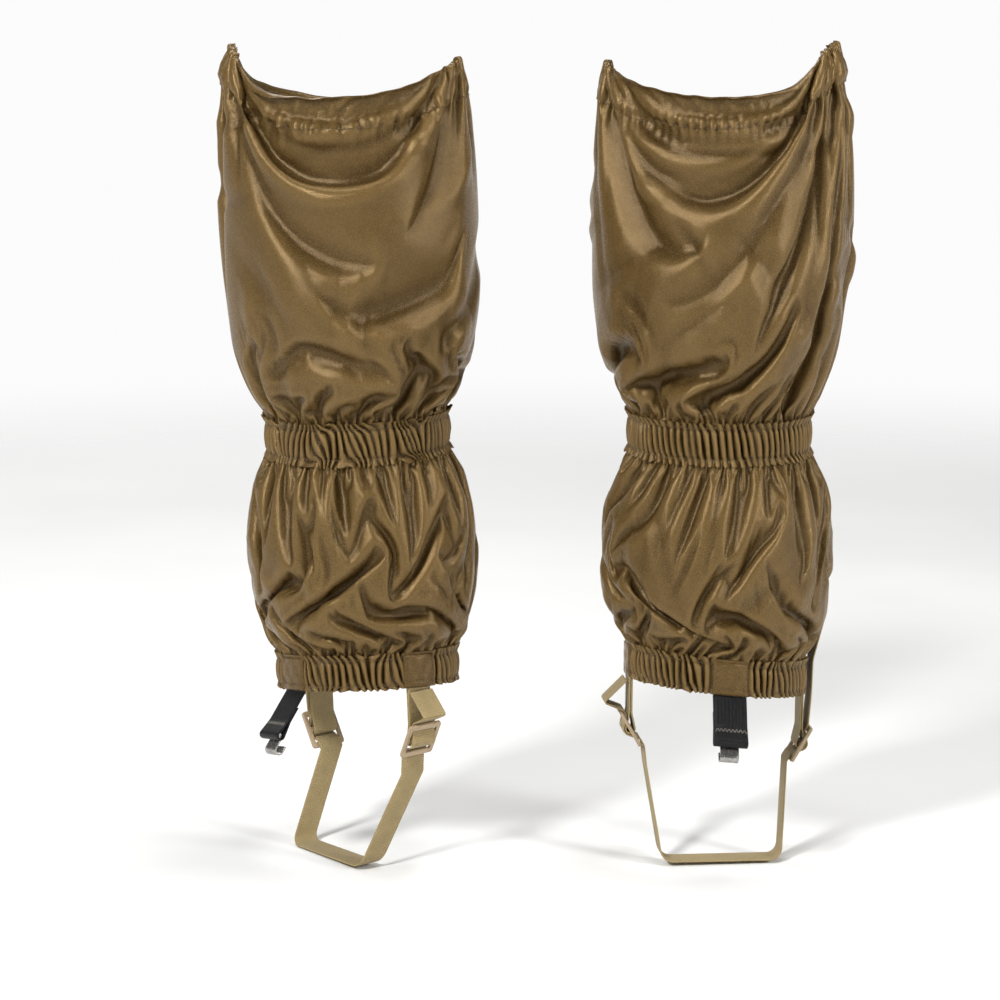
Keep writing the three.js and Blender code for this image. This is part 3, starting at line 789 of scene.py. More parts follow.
def steel_finish(name):
    """Pressed steel, plated and brushed, scuffed where laces rub it."""
    f = Finish(name, Specular_IOR_Level=0.5)
    where = f.place()
    brushed = f.noise(f.out(f.node("ShaderNodeMapping", Vector=where, Scale=(900, 900, 60))), 1.0, 3, 0.6)
    scuff = f.noise(where, 320, 4, 0.65)
    f.paint(Base_Color=f.ramp(scuff * 0.7 + brushed * 0.3, [(0.3, (0.20, 0.19, 0.18)), (0.75, (0.55, 0.53, 0.50))]),
            Roughness=0.24 + (brushed - 0.5) * 0.2 + (scuff - 0.5) * 0.25,
            Metallic=0.92 + (scuff - 0.5) * 0.1)
    f.bumps((brushed, 0.00006), (scuff, 0.00012))
    return f.material


def thread_finish(name, light, dark):
    """Twisted sewing thread."""
    f = Finish(name, Specular_IOR_Level=0.4)
    where = f.place()
    fibre, tone = f.noise(where, 3200, 2, 0.6), f.noise(where, 220, 2, 0.5)
    f.paint(Base_Color=f.ramp(fibre * 0.5 + tone * 0.5, [(0.3, dark), (0.7, light)]), Roughness=0.55 + fibre * 0.2)
    f.bumps((fibre, 0.0001))
    return f.material


def elastic_finish(name):
    """Woven elastic and cord: fine ribs with pale fibres."""
    f = Finish(name, Specular_IOR_Level=0.3, Sheen_Weight=0.15)
    where, cut = f.place(), f.map()
    u, v, _ = f.parts(cut)
    ribs = (v * (TAU / 0.0014)).sine() * 0.5 + 0.5
    ends = ((u + v) * (TAU / 0.0009)).sine() * 0.5 + 0.5
    fibre = f.noise(where, 1500, 2, 0.6)
    shade = ribs * 0.3 + ends * 0.2 + fibre * 0.6
    f.paint(Base_Color=f.ramp(shade, [(0.2, (0.44, 0.42, 0.37)), (0.85, (0.80, 0.78, 0.72))]),
            Roughness=0.75 + (fibre - 0.5) * 0.2)
    f.bumps((fibre, 0.0001), (ribs, 0.0002))
    return f.material


def dimmed(colour, share):
    return tuple(c * share for c in colour)


def finishes():
    """All the object's materials, made once."""
    look = bpy.context.scene.gaiters
    if "coated_nylon" not in bpy.data.materials:
        cloth, shadow = tuple(look.cloth_light), tuple(look.cloth_dark)
        cloth_finish("coated_nylon", cloth, shadow, look.cloth_gloss)
        # The gathered bands get a copy of the nylon with a darker valley colour and a stronger fold term: painted shade
        # deep in the pleats.
        cloth_finish("gathered_nylon", cloth, dimmed(shadow, 0.5), look.cloth_gloss + 0.06, depth=0.9)
        cloth_finish("nylon_lining", dimmed(cloth, 0.8), dimmed(shadow, 0.8), 0.62)
        webbing_finish("khaki_webbing", tuple(look.webbing), dimmed(look.webbing, 0.5), 0.7)
        webbing_finish("coated_black_webbing", (0.009, 0.009, 0.010), (0.002, 0.002, 0.002), 0.30,
                       rib=0.0012, relief=0.5, gleam=0.2, sheen=0.0)
        plastic_finish("tan_plastic", tuple(look.plastic), dimmed(look.plastic, 0.6))
        steel_finish("plated_steel")
        thread_finish("brown_thread", linear((120, 97, 66)), linear((70, 54, 34)))
        thread_finish("pale_thread", linear((186, 178, 168)), linear((130, 122, 112)))
        elastic_finish("woven_elastic")
    return bpy.data.materials


# ---- what a maker would change --------------------------------------------------------------------------------

class GaiterLook(PropertyGroup):
    upper_cut: FloatProperty(name="Upper sleeve cut",
                             description="Height of the upper sleeve's cloth before it is hung", default=0.272,
                             min=0.25, max=0.32, unit="LENGTH", subtype="DISTANCE")
    lower_cut: FloatProperty(name="Lower sleeve cut",
                             description="Height of the lower sleeve's cloth before it is hung", default=0.173,
                             min=0.15, max=0.2, unit="LENGTH", subtype="DISTANCE")
    calf_pleats: IntProperty(name="Calf pleats", description="Pleats that the calf elastic draws up", default=78,
                             min=40, max=120)
    ankle_pleats: IntProperty(name="Ankle pleats", description="Pleats that the ankle elastic draws up", default=74,
                              min=40, max=120)
    right_rim_turn: FloatProperty(name="Right rim turn", description="Turn of the right rim on its leg",
                                  default=math.radians(-45), subtype="ANGLE", unit="ROTATION")
    left_rim_turn: FloatProperty(name="Left rim turn", description="Turn of the left rim on its leg",
                                 default=math.radians(-10), subtype="ANGLE", unit="ROTATION")
    # cloth_light and cloth_dark are the ends of the cloth's colour ramp: besides its uneven tone they give the painted
    # highlight on ridges and the painted shade in valleys.
    cloth_light: FloatVectorProperty(name="Cloth, pale tone and ridge highlight", description="Colour of the cloth along its ridges",
                                     default=(0.158, 0.098, 0.034), subtype="COLOR", min=0, max=1)
    cloth_dark: FloatVectorProperty(name="Cloth, dark tone and valley shade", description="Colour of the cloth in its valleys",
                                    default=(0.034, 0.018, 0.004), subtype="COLOR", min=0, max=1)
    cloth_gloss: FloatProperty(name="Cloth roughness", description="Roughness of the coating", default=0.27,
                               min=0, max=1, subtype="FACTOR")
    webbing: FloatVectorProperty(name="Webbing", description="Colour of the webbing", default=(0.40, 0.30, 0.135),
                                 subtype="COLOR", min=0, max=1)
    plastic: FloatVectorProperty(name="Slides", description="Colour of the slides", default=(0.45, 0.33, 0.20),
                                 subtype="COLOR", min=0, max=1)
    seed: IntProperty(name="Seed", description="Start of everything that is uneven in the cloth", default=3)


def rim_turn(side):
    return getattr(bpy.context.scene.gaiters, f"{side}_rim_turn")


GRIDS = {}  # each side's draped grids, in its leg's frame


def calf_gather(side):
    look = bpy.context.scene.gaiters
    twist = {"right": 0.10, "left": -0.12}[side]
    crowded = [(0.4, 1.2, 0.05), (3.5, 0.8, 0.1)]
    return Gather(look.seed + len(side), look.calf_pleats, crowded, twist + rim_turn(side))


def ankle_gather(side):
    look = bpy.context.scene.gaiters
    tabs = [(angle, TAB_HALF) for angle in (0, math.pi / 2, -math.pi / 2)]
    crowded = [(angle, 0.2, -0.30) for angle, _ in tabs]
    calf = calf_gather(side)
    made = Gather(look.seed + 4 * len(side), look.ankle_pleats, crowded, calf.twist, tabs)
    u = np.linspace(0, 1, 2001)[:-1]
    front = u[np.argmin(np.abs(np.sin(calf.angle(u) / 2)))]  # the cloth hangs straight down at the toes
    twist = calf.twist + float(calf.angle(front) - made.angle(front))
    return Gather(look.seed + 4 * len(side), look.ankle_pleats, crowded, twist, tabs)


def turned(points, angle):
    made = np.array(points, float)
    x, y = points[..., 0], points[..., 1]
    made[..., 0] = x * math.cos(angle) - y * math.sin(angle)
    made[..., 1] = x * math.sin(angle) + y * math.cos(angle)
    return made


# (radius, share of the height) where each sleeve's cloth starts
UPPER_PROFILE = [(0.0655, 0), (0.078, 0.107), (0.0915, 0.27), (0.095, 0.53), (0.0895, 0.855), (0.085, 1)]
LOWER_PROFILE = [(0.0655, 0), (0.078, 0.24), (0.0825, 0.52), (0.079, 0.785), (0.0655, 1)]
# (columns, rows, steps, rounds, weight, stiffness) of each pass of the drape, coarse to fine
UPPER_PASSES = [(96, 36, 150, 10, 1.0, 0.25), (240, 60, 40, 10, 0.25, 0.16), (COLUMNS, UPPER_ROWS, 14, 10, 0.03, 0.08)]
LOWER_PASSES = [(96, 24, 150, 10, 1.2, 0.25), (240, 40, 40, 10, 0.50, 0.26), (COLUMNS, LOWER_ROWS, 12, 10, 0.08, 0.20)]
PLEATED_FROM = 300  # columns: coarser grids can't hold the pleats


def drape_upper(side):
    look = bpy.context.scene.gaiters
    turn, calf = rim_turn(side), calf_gather(side)
    ear = Gather(look.seed, 38, [(EAR_ANGLE, 0.22, 1.6), (math.radians(-86), 0.25, 0.9)])
    seed = look.seed + (0 if side == "right" else 4)

    def bottom(columns):
        return calf.ring(columns, SEWN_RADIUS, CALF_TOP - 1 * MM, 1.0 if columns >= PLEATED_FROM else 0.0, turn)

    def top(columns):
        rim = ear.ring(columns, RIM_RADIUS, lambda a: RIM + rim_height(a) + rim_wobble(a, seed),
                       0.9 if columns >= PLEATED_FROM else 0.0)
        rim[:, :2] *= 1 - 0.11 * ear_share(np.arctan2(rim[:, 0], -rim[:, 1]), 0.42)[:, None]
        return rim

    def inside(z):
        return np.interp(z, [0.0, 0.03, 0.09, 0.20, 0.28], [0.060, 0.061, 0.072, 0.077, 0.077])

    def outside(z, angle):
        return np.interp(z, [0.0125, 0.017, 0.022, 0.035, 0.06, 0.10, 0.20, 0.235, 0.27, 0.30],
                         [0.0665, 0.0675, 0.0725, 0.0810, 0.0885, 0.0945, 0.0950, 0.0925, 0.0875, 0.087])

    passes = UPPER_PASSES
    grid = drape(seed, bottom, top, UPPER_PROFILE, look.upper_cut, passes, inside, outside, 0.6)
    return turned(finer(grid, UPPER_ROWS, COLUMNS), turn)


def drape_lower(side):
    look = bpy.context.scene.gaiters
    calf, ankle = calf_gather(side), ankle_gather(side)
    seed = look.seed + (11 if side == "right" else 15)

    def bottom(columns):
        return ankle.ring(columns, SEWN_RADIUS, lambda a: HEM_BOTTOM + HEM_HEIGHT - 1 * MM + hem_height(a),
                          0.8 if columns >= PLEATED_FROM else 0.0)

    def top(columns):
        return calf.ring(columns, SEWN_RADIUS, 1 * MM - CALF_TOP, 0.8 if columns >= PLEATED_FROM else 0.0)

    def inside(z):
        return np.interp(z, [-0.165, -0.14, -0.09, -0.04, -0.01], [0.0605, 0.067, 0.0745, 0.070, 0.0605])

    def outside(z, angle):
        level = z - hem_height(angle) * (1 - smoothstep(z, -0.163, -0.088))
        free = np.interp(level, [-0.164, -0.160, -0.150, -0.130, -0.10, -0.07, -0.04, -0.022, -0.016, -0.012],
                         [0.0665, 0.0685, 0.0745, 0.0815, 0.0845, 0.0855, 0.0835, 0.0775, 0.069, 0.0665])
        tail = np.interp(z, [-0.172, -0.165, -0.140, -0.125, -0.10], [0.0665, 0.0675, 0.0755, 0.0815, 0.0855])
        near = 1 - smoothstep(np.abs(angle - math.pi / 2), 0.19, 0.27)
        return free + (np.minimum(free, tail) - free) * near

    passes = LOWER_PASSES
    grid = drape(seed, bottom, top, LOWER_PROFILE, look.lower_cut, passes, inside, outside, 0.5)
    return finer(grid, LOWER_ROWS, COLUMNS)


def hem_rows(side):
    """How many of the upper grid's rows lie below the top hem's seam."""
    grid = GRIDS[side, "upper"]
    return int(round(len(grid) * (1 - TOP_HEM / bpy.context.scene.gaiters.upper_cut)))


def pucker(grid, row, reach, depth, seed):
    """Draws the cloth up in small uneven puckers on both sides of a seam's row."""
    rows, columns = grid.shape[:2]
    rng = np.random.default_rng(seed)
    u = np.arange(columns) / columns
    wave = sum(rng.normal() * np.sin(TAU * (n * u + rng.random())) for n in range(34, 96, 5)) / 3.2
    fall = np.exp(-np.abs(np.arange(rows) - row) / reach)
    crease = np.abs(wave) ** 0.8 * np.sign(wave)
    return grid + normals(grid) * (depth * fall[:, None] * crease[None])[..., None]


def crease(grid, seed, steep, clear, swags=False):
    """Folds the cloth along crisp ridges and valleys, upright near its gathered ends and swagged under a rim."""
    rows, columns = grid.shape[:2]
    rng = np.random.default_rng(seed)
    u = (np.arange(columns) / columns * CUT_WIDTH)[None]
    v = np.concatenate([[0], np.cumsum(np.sqrt(((grid[1:] - grid[:-1]) ** 2).sum(-1)).mean(1))])[:, None]
    tall = v[-1, 0]
    height = np.zeros((rows, columns))
    for _ in range(70):
        cu, cv, bow = rng.random() * CUT_WIDTH, rng.random() * tall, 0.0
        lean = math.pi / 2 + rng.normal() * 0.35
        if swags and cv > 0.62 * tall:
            lean, bow = rng.normal() * 0.35, rng.uniform(2, 7)
        elif 0.3 * tall < cv < 0.7 * tall:
            lean = math.pi / 2 + rng.uniform(-1.1, 1.1)
        du = (u - cu + CUT_WIDTH / 2) % CUT_WIDTH - CUT_WIDTH / 2
        dv = v - cv
        half, reach = rng.uniform(7, 19) * MM, rng.uniform(16, 50) * MM
        along = du * math.cos(lean) + dv * math.sin(lean)
        away = dv * math.cos(lean) - du * math.sin(lean) - bow * along ** 2
        tent = np.maximum(0, 1 - np.abs(away) / half) * np.exp(-(along / reach) ** 2)
        height += rng.choice([-1, 1]) * rng.uniform(0.45, 1.0) * half * tent
    end = smoothstep(np.arange(rows)[:, None], 0, clear) * smoothstep(rows - 1 - np.arange(rows)[:, None], 0, clear)
    height = 3.6 * MM * np.tanh(height * steep / (3.6 * MM))
    return grid + normals(grid) * (height * end)[..., None]


class GAITERS_OT_drape_sleeves(Operator):
    """Hang the upper and lower sleeves between their elastics"""
    bl_idname = "gaiters.drape_sleeves"
    bl_label = "Drape Sleeves"

    def execute(self, context):
        look, paint = context.scene.gaiters, finishes()
        with ThreadPoolExecutor(4) as pool:
            jobs = {(side, "upper"): pool.submit(drape_upper, side) for side in SIDES}
            jobs.update({(side, "lower"): pool.submit(drape_lower, side) for side in SIDES})
        for key, job in jobs.items():
            GRIDS[key] = job.result()
            if not np.isfinite(GRIDS[key]).all():
                raise RuntimeError(f"the {key} sleeve did not settle")
        for side in SIDES:
            leg = LEGS[side]
            grid, seam = GRIDS[side, "upper"], hem_rows(side)
            grid = crease(grid, look.seed + 30 + len(side), 0.36, 12, True)
            grid = GRIDS[side, "upper"] = pucker(grid, seam, 2.2, 1.1 * MM, look.seed + len(side))
            upper = grid[:seam + 1]
            made = sleeve_piece(f"{side}_draped_upper_sleeve", leg, upper, upper - normals(upper) * CLOTH,
                                paint["coated_nylon"])
            fit(made, f"{side}_gaiter", "cloth", f"{side}_upper_sleeve")
            lower = GRIDS[side, "lower"] = crease(GRIDS[side, "lower"], look.seed + 50 + len(side), 0.22, 10)
            made = sleeve_piece(f"{side}_draped_lower_sleeve", leg, lower, lower - normals(lower) * CLOTH,
                                paint["coated_nylon"])
            fit(made, f"{side}_gaiter", "cloth", f"{side}_lower_sleeve")
        return {"FINISHED"}


def straight(angle):
    """The height of an edge that runs straight round the leg."""
    return angle * 0


def band_grid(gather, columns, stations, height_of, slant=0.0, seed=0, scallop=(0, 0)):
    """A gathered band. Each station up it is (radius, height, share of a full pleat)."""
    u = np.arange(columns) / columns
    angle = gather.angle(u)
    rng = np.random.default_rng(seed)
    lean = slant * (0.8 + sum(rng.normal() * np.sin(TAU * (n * u + rng.random())) for n in (3, 7, 12, 19)) / 2.2)
    bend = slant * sum(rng.normal() * np.sin(TAU * (n * u + rng.random())) for n in (4, 9, 16)) / 1.6
    fine = np.linspace(0, 1, 25)
    at = np.linspace(0, 1, len(stations))
    radius, rise, share = (np.interp(fine, at, [s[k] for s in stations]) for k in range(3))
    for _ in range(2):
        radius[1:-1] = (radius[1:-1] * 2 + radius[2:] + radius[:-2]) / 4
        share[1:-1] = (share[1:-1] * 2 + share[2:] + share[:-2]) / 4
    middle = radius.mean()
    spare = CUT_WIDTH / (TAU * middle)
    depth = TAU * middle / gather.pleats / math.pi * math.sqrt(max(spare - 1, 0.02))
    depth = depth * gather.uneven(u) * gather.tame(angle)
    climb = fine[:, None] - 0.5
    wave = np.cos(gather.phase(u)[None] + lean * climb * 2 + bend * (climb ** 2 - 0.08) * 4)
    wave = 2 * (0.5 + 0.5 * wave) ** 0.42 - 1.1
    r = radius[:, None] + share[:, None] * depth[None] * wave
    sway = 0.12 * depth[None] * np.sin(gather.phase(u)[None] * 2 + lean) / middle
    a = angle[None] + sway
    edge = smoothstep(climb, 0.36, 0.5) * scallop[1] - smoothstep(-climb, 0.36, 0.5) * scallop[0]
    height = rise[:, None] + height_of(a) + edge * wave * depth[None]
    return np.stack([r * np.sin(a), -r * np.cos(a), height], -1)


class GAITERS_OT_gather_bands(Operator):
    """Gather the calf bands and the ankle hems over their elastics"""
    bl_idname = "gaiters.gather_bands"
    bl_label = "Gather Bands"

    def execute(self, context):
        look, paint = context.scene.gaiters, finishes()
        for side in SIDES:
            leg, calf, ankle = LEGS[side], calf_gather(side), ankle_gather(side)
            lines = [(0.0678, -14.6 * MM, 1.9), (0.0665, -12.0 * MM, 1.3), (0.0655, -10.2 * MM, 0.85),
                     (0.0662, -8.0 * MM, 1.25), (0.0665, -2.6 * MM, 1.6), (0.0665, 2.6 * MM, 1.6),
                     (0.0662, 8.0 * MM, 1.25), (0.0655, 10.2 * MM, 0.85), (0.0665, 12.0 * MM, 1.3),
                     (0.0678, 14.6 * MM, 1.9)]
            slant = -1 if leg.mirrored else 1
            band = band_grid(calf, BAND_COLUMNS, lines, straight, 4.8 * slant, look.seed + len(side), (0.9, 0.9))
            GRIDS[side, "calf"] = band
            self.finish(leg, f"{side}_gathered_calf_band", band, 1.0 * MM, paint["gathered_nylon"],
                        f"{side}_calf_band", "cloth", 0.0305)
            floor = HEM_BOTTOM
            lines = [(0.0662, floor + 0.2 * MM, 1.2), (0.0662, floor + 1.8 * MM, 1.0),
                     (0.0657, floor + 3.8 * MM, 0.75), (0.0662, floor + 6.5 * MM, 1.25),
                     (0.0664, floor + 12.5 * MM, 1.55), (0.0662, floor + 18.5 * MM, 1.3),
                     (0.0655, floor + 21.6 * MM, 0.8), (0.0665, floor + 24 * MM, 1.3),
                     (0.0672, floor + 26.4 * MM, 1.8)]
            band = band_grid(ankle, BAND_COLUMNS, lines, hem_height, 3.2 * slant, look.seed + 3 * len(side),
                             (0.25, 0.8))
            GRIDS[side, "ankle"] = band
            self.finish(leg, f"{side}_gathered_ankle_hem", band, 1.6 * MM, paint["gathered_nylon"],
                        f"{side}_ankle_hem", "cloth", 0.028)
            rings = [("calf_lining", 0.0612, -CALF_TOP, CALF_TOP, 0.35, "nylon_lining", "lining", None),
                     ("calf_elastic", 0.0632, 2.5 * MM - CALF_TOP, CALF_TOP - 2.5 * MM, 0.0,
                      "woven_elastic", "elastic", None),
                     ("ankle_elastic", 0.0632, HEM_BOTTOM + 4 * MM, HEM_BOTTOM + HEM_HEIGHT - 4 * MM, 0.0,
                      "woven_elastic", "elastic", hem_height)]
            for part, radius, low, high, share, finish, slot, height_of in rings:
                steps = [(radius, low + (high - low) * k / 4, share) for k in range(5)]
                gather = ankle if height_of else calf
                ring = band_grid(gather, COLUMNS, steps, height_of or straight, seed=1)
                made = sleeve_piece(f"{side}_{part}_ring", leg, ring, ring - normals(ring) * 0.7 * MM, paint[finish])
                fit(made, f"{side}_gaiter", slot, f"{side}_{part}")
        return {"FINISHED"}

    def finish(self, leg, name, band, thickness, material, node, slot, height):
        made = sleeve_piece(name, leg, band, band - normals(band) * thickness, material)
        fit(made, f"{leg.side}_gaiter", slot, node)
        f"{leg.side}_calf_lining" if "calf" in node else f"{leg.side}_stirrup_strap"


class GAITERS_OT_turn_top_hems(Operator):
    """Fold the rims over and lay the drawcords in them"""
    bl_idname = "gaiters.turn_top_hems"
    bl_label = "Turn Top Hems"

    def execute(self, context):
        paint = finishes()
        for side in SIDES:
            leg, seam = LEGS[side], hem_rows(side)
            grid = GRIDS[side, "upper"][seam:]
            grid = finer(grid, HEM_ROWS, COLUMNS)
            t = np.linspace(0, 1, HEM_ROWS)
            grid = pucker(grid, 0, 3.0, 0.35 * MM, 17 + len(side))
            half = 0.45 + 1.55 * smoothstep(t, 0, 0.25) - 1.35 * smoothstep(t, 0.45, 0.95)
            half = half * np.sqrt(np.clip(1 - ((np.maximum(t, 0.9) - 0.9) / 0.1) ** 2, 0, 1))
            bunched = 1 + 1.6 * ear_share(np.arctan2(grid[..., 0], -grid[..., 1]) - rim_turn(side), 0.28)
            out = normals(grid)
            for _ in range(5):
                out = out + np.roll(out, 1, 1) + np.roll(out, -1, 1)
            out *= (half[:, None] * bunched * MM)[..., None] / np.linalg.norm(out, axis=-1)[..., None]
            made = sleeve_piece(f"{side}_turned_top_hem", leg, grid + out, grid - out, paint["coated_nylon"])
            fit(made, f"{side}_gaiter", "cloth", f"{side}_top_hem")
            path = grid[CORD_ROW]
            near = np.roll(path, -1, 0) - np.roll(path, 1, 0)
            near /= np.linalg.norm(near, axis=1)[:, None]
            out = normals(grid)[CORD_ROW]
            over = np.cross(near, out)
            k = 10
            turn = np.arange(k) / k * TAU
            tube = path[:, None] + CORD_RADIUS * (out[:, None] * np.cos(turn)[None, :, None]
                                                  + over[:, None] * np.sin(turn)[None, :, None])
            n = len(path)
            faces, uv = [], []
            for i in range(n):
                for j in range(k):
                    on, up = (i + 1) % n, (j + 1) % k
                    faces.append((i * k + j, on * k + j, on * k + up, i * k + up))
                    uv += [(x * 1.25 * MM, y * 0.8 * MM) for x, y in ((i, j), (i + 1, j), (i + 1, j + 1), (i, j + 1))]
            made = strap_piece(f"{side}_braided_drawcord", leg, (tube.reshape(-1, 3), faces, uv),
                               paint["woven_elastic"], True)
            fit(made, f"{side}_gaiter", "elastic", f"{side}_top_drawcord")
        return {"FINISHED"}


# ---- straps ---------------------------------------------------------------------------------------------------

SLIDE_BAR, SLIDE_THICK, SLIDE_SLOT, SLIDE_MIDDLE = 4.4 * MM, 2.6 * MM, 8.3 * MM, 4 * MM
SLIDE_TILT = math.radians(30)
THREAD_CLEARANCE = 0.35 * MM
SLIDE_POCKET = math.hypot(SLIDE_MIDDLE, SLIDE_THICK) / 2 + 0.4 * MM
END_BAR = SLIDE_MIDDLE / 2 + SLIDE_SLOT
LACE = {"width": 25 * MM, "thick": 1.4 * MM, "length": 36.4 * MM, "lap": 24.4 * MM, "slope": math.radians(42)}
LACE_POCKET = 2.0 * MM


class Station:
    """Where a strap is sewn to the hem. Its paths are drawn as (outwards, upwards)."""

    def __init__(self, leg, angle, drop, slope=0.0, roll=0.0):
        self.leg = leg
        edge = HEM_BOTTOM + hem_height(angle)
        self.base = np.array([STRAP_PLACE * math.sin(angle), -STRAP_PLACE * math.cos(angle), edge - drop])
        out = np.array([math.sin(angle), -math.cos(angle), 0.0])
        side = np.array([math.cos(angle), math.sin(angle), 0.0])
        up = np.array([0.0, 0.0, 1.0])
        if slope or roll:
            c, s = math.cos(slope), math.sin(slope)
            out, up = out * c + up * s, up * c - out * s
            c, s = math.cos(roll), math.sin(roll)
            side, up, out = self.rolled(side, c, s), self.rolled(up, c, s), self.rolled(out, c, s)
        self.out, self.side, self.up = out, side, up

    @staticmethod
    def rolled(vector, c, s):
        """Turned about the leg's front-to-back line."""
        x, y, z = vector
        return np.array([c * x + s * z, y, c * z - s * x])

    def path(self, drawn, at=0.0):
        drawn = np.asarray(drawn, float)
        return self.base + drawn[:, :1] * self.out + (drawn[:, 1:2] + at) * self.up

    def strap(self, name, drawn, width, thickness, material):
        made = ribbon(self.path(drawn), self.side, width, thickness)
        return strap_piece(name, self.leg, made, material)


def station(side, which):
    angle = {"outer": math.pi / 2, "inner": -math.pi / 2}[which]
    return Station(LEGS[side], angle, 1.2 * MM)


def lace_station(side):
    return Station(LEGS[side], 0.0, LACE["thick"] + 0.8 * MM, LACE["slope"], FRONT_ROLL)


def tangent_angle(across, above, radius):
    return math.atan2(above, across) - math.acos(radius / math.hypot(across, above))


def loop(length, radius, start, steps=16):
    """Points round the underside of a bar `length` below, from its outer tangent to its inner one."""
    return [(radius * math.cos(start - (math.pi + 2 * start) * i / steps),
             -length + radius * math.sin(start - (math.pi + 2 * start) * i / steps)) for i in range(steps + 1)]


def foot_strap_path():
    half = THREAD_CLEARANCE / 2 + WEBBING / 2
    round_bar = SLIDE_POCKET + WEBBING / 2
    taper = 12 * MM
    start = tangent_angle(half, taper, round_bar)
    points = [(half, 5 * MM), (half, taper - FOOT_STRAP)] + loop(FOOT_STRAP, round_bar, start) \
        + [(-half, taper - FOOT_STRAP), (-half, 5 * MM)]
    return spaced(points, 1.0 * MM)


def threading():
    """The stirrup's centreline from the slide's middle bar, behind both end bars."""
    offset = SLIDE_THICK / 2 + THREAD_CLEARANCE + WEBBING / 2 + 0.25 * MM
    clear = SLIDE_POCKET + WEBBING + THREAD_CLEARANCE + WEBBING / 2
    a, r2 = END_BAR ** 2, clear ** 2
    crown = (offset * r2 + END_BAR * clear * math.sqrt(a + offset ** 2 - r2)) / (a - r2)
    c, s = math.cos(SLIDE_TILT), math.sin(SLIDE_TILT)

    def at(along, across):
        return along * s + across * c, along * c - across * s

    return {"foot": at(-END_BAR - SLIDE_BAR - 2 * MM, -offset), "lower": (*at(-END_BAR, -offset), 2.4 * MM),
            "crown": (*at(0, crown), clear), "upper": (*at(END_BAR, -offset), 2.4 * MM),
            "head": at(END_BAR + SLIDE_BAR, -offset)}


def tail_path(which):
    t = threading()
    if which == "outer":
        sleeve = 3 * MM
        tail = [(*t["head"], 6 * MM), (sleeve + 4 * MM, FOOT_STRAP, 20 * MM),
                (sleeve + 4.6 * MM, FOOT_STRAP + 1.04 * HEM_HEIGHT, 30 * MM), (17 * MM, FOOT_STRAP + 2.5 * HEM_HEIGHT)]
    else:
        close = WEBBING * 1.5 + THREAD_CLEARANCE * 1.5
        tail = [(*t["head"], 3 * MM), (20 * MM, 20 * MM, 1.6 * MM), (close + 1 * MM, FOOT_STRAP - 1.5 * MM)]
    return spaced(rounded([t["foot"], t["lower"], t["crown"], t["upper"], *tail]), 0.9 * MM)


def stirrup_path():
    foot = threading()["foot"]
    place = STRAP_PLACE + foot[0]
    drop = 1.2 * MM + FOOT_STRAP - foot[1] + 0.4 * MM
    outer = HEM_BOTTOM + hem_height(math.pi / 2) - drop
    inner = HEM_BOTTOM + hem_height(-math.pi / 2) - drop
    floor = HEM_BOTTOM - 0.125
    flat = rounded([(place, outer), (0.044, floor + WEBBING / 2, 0.009), (-0.044, floor + WEBBING / 2, 0.009),
                    (-place, inner)], 10)
    flat = spaced(flat, 1.5 * MM)
    top = min(outer, inner)
    forward = 0.036 * np.clip((top - flat[:, 1]) / (top - floor), 0, 1)
    return np.stack([flat[:, 0], -forward, flat[:, 1]], 1)


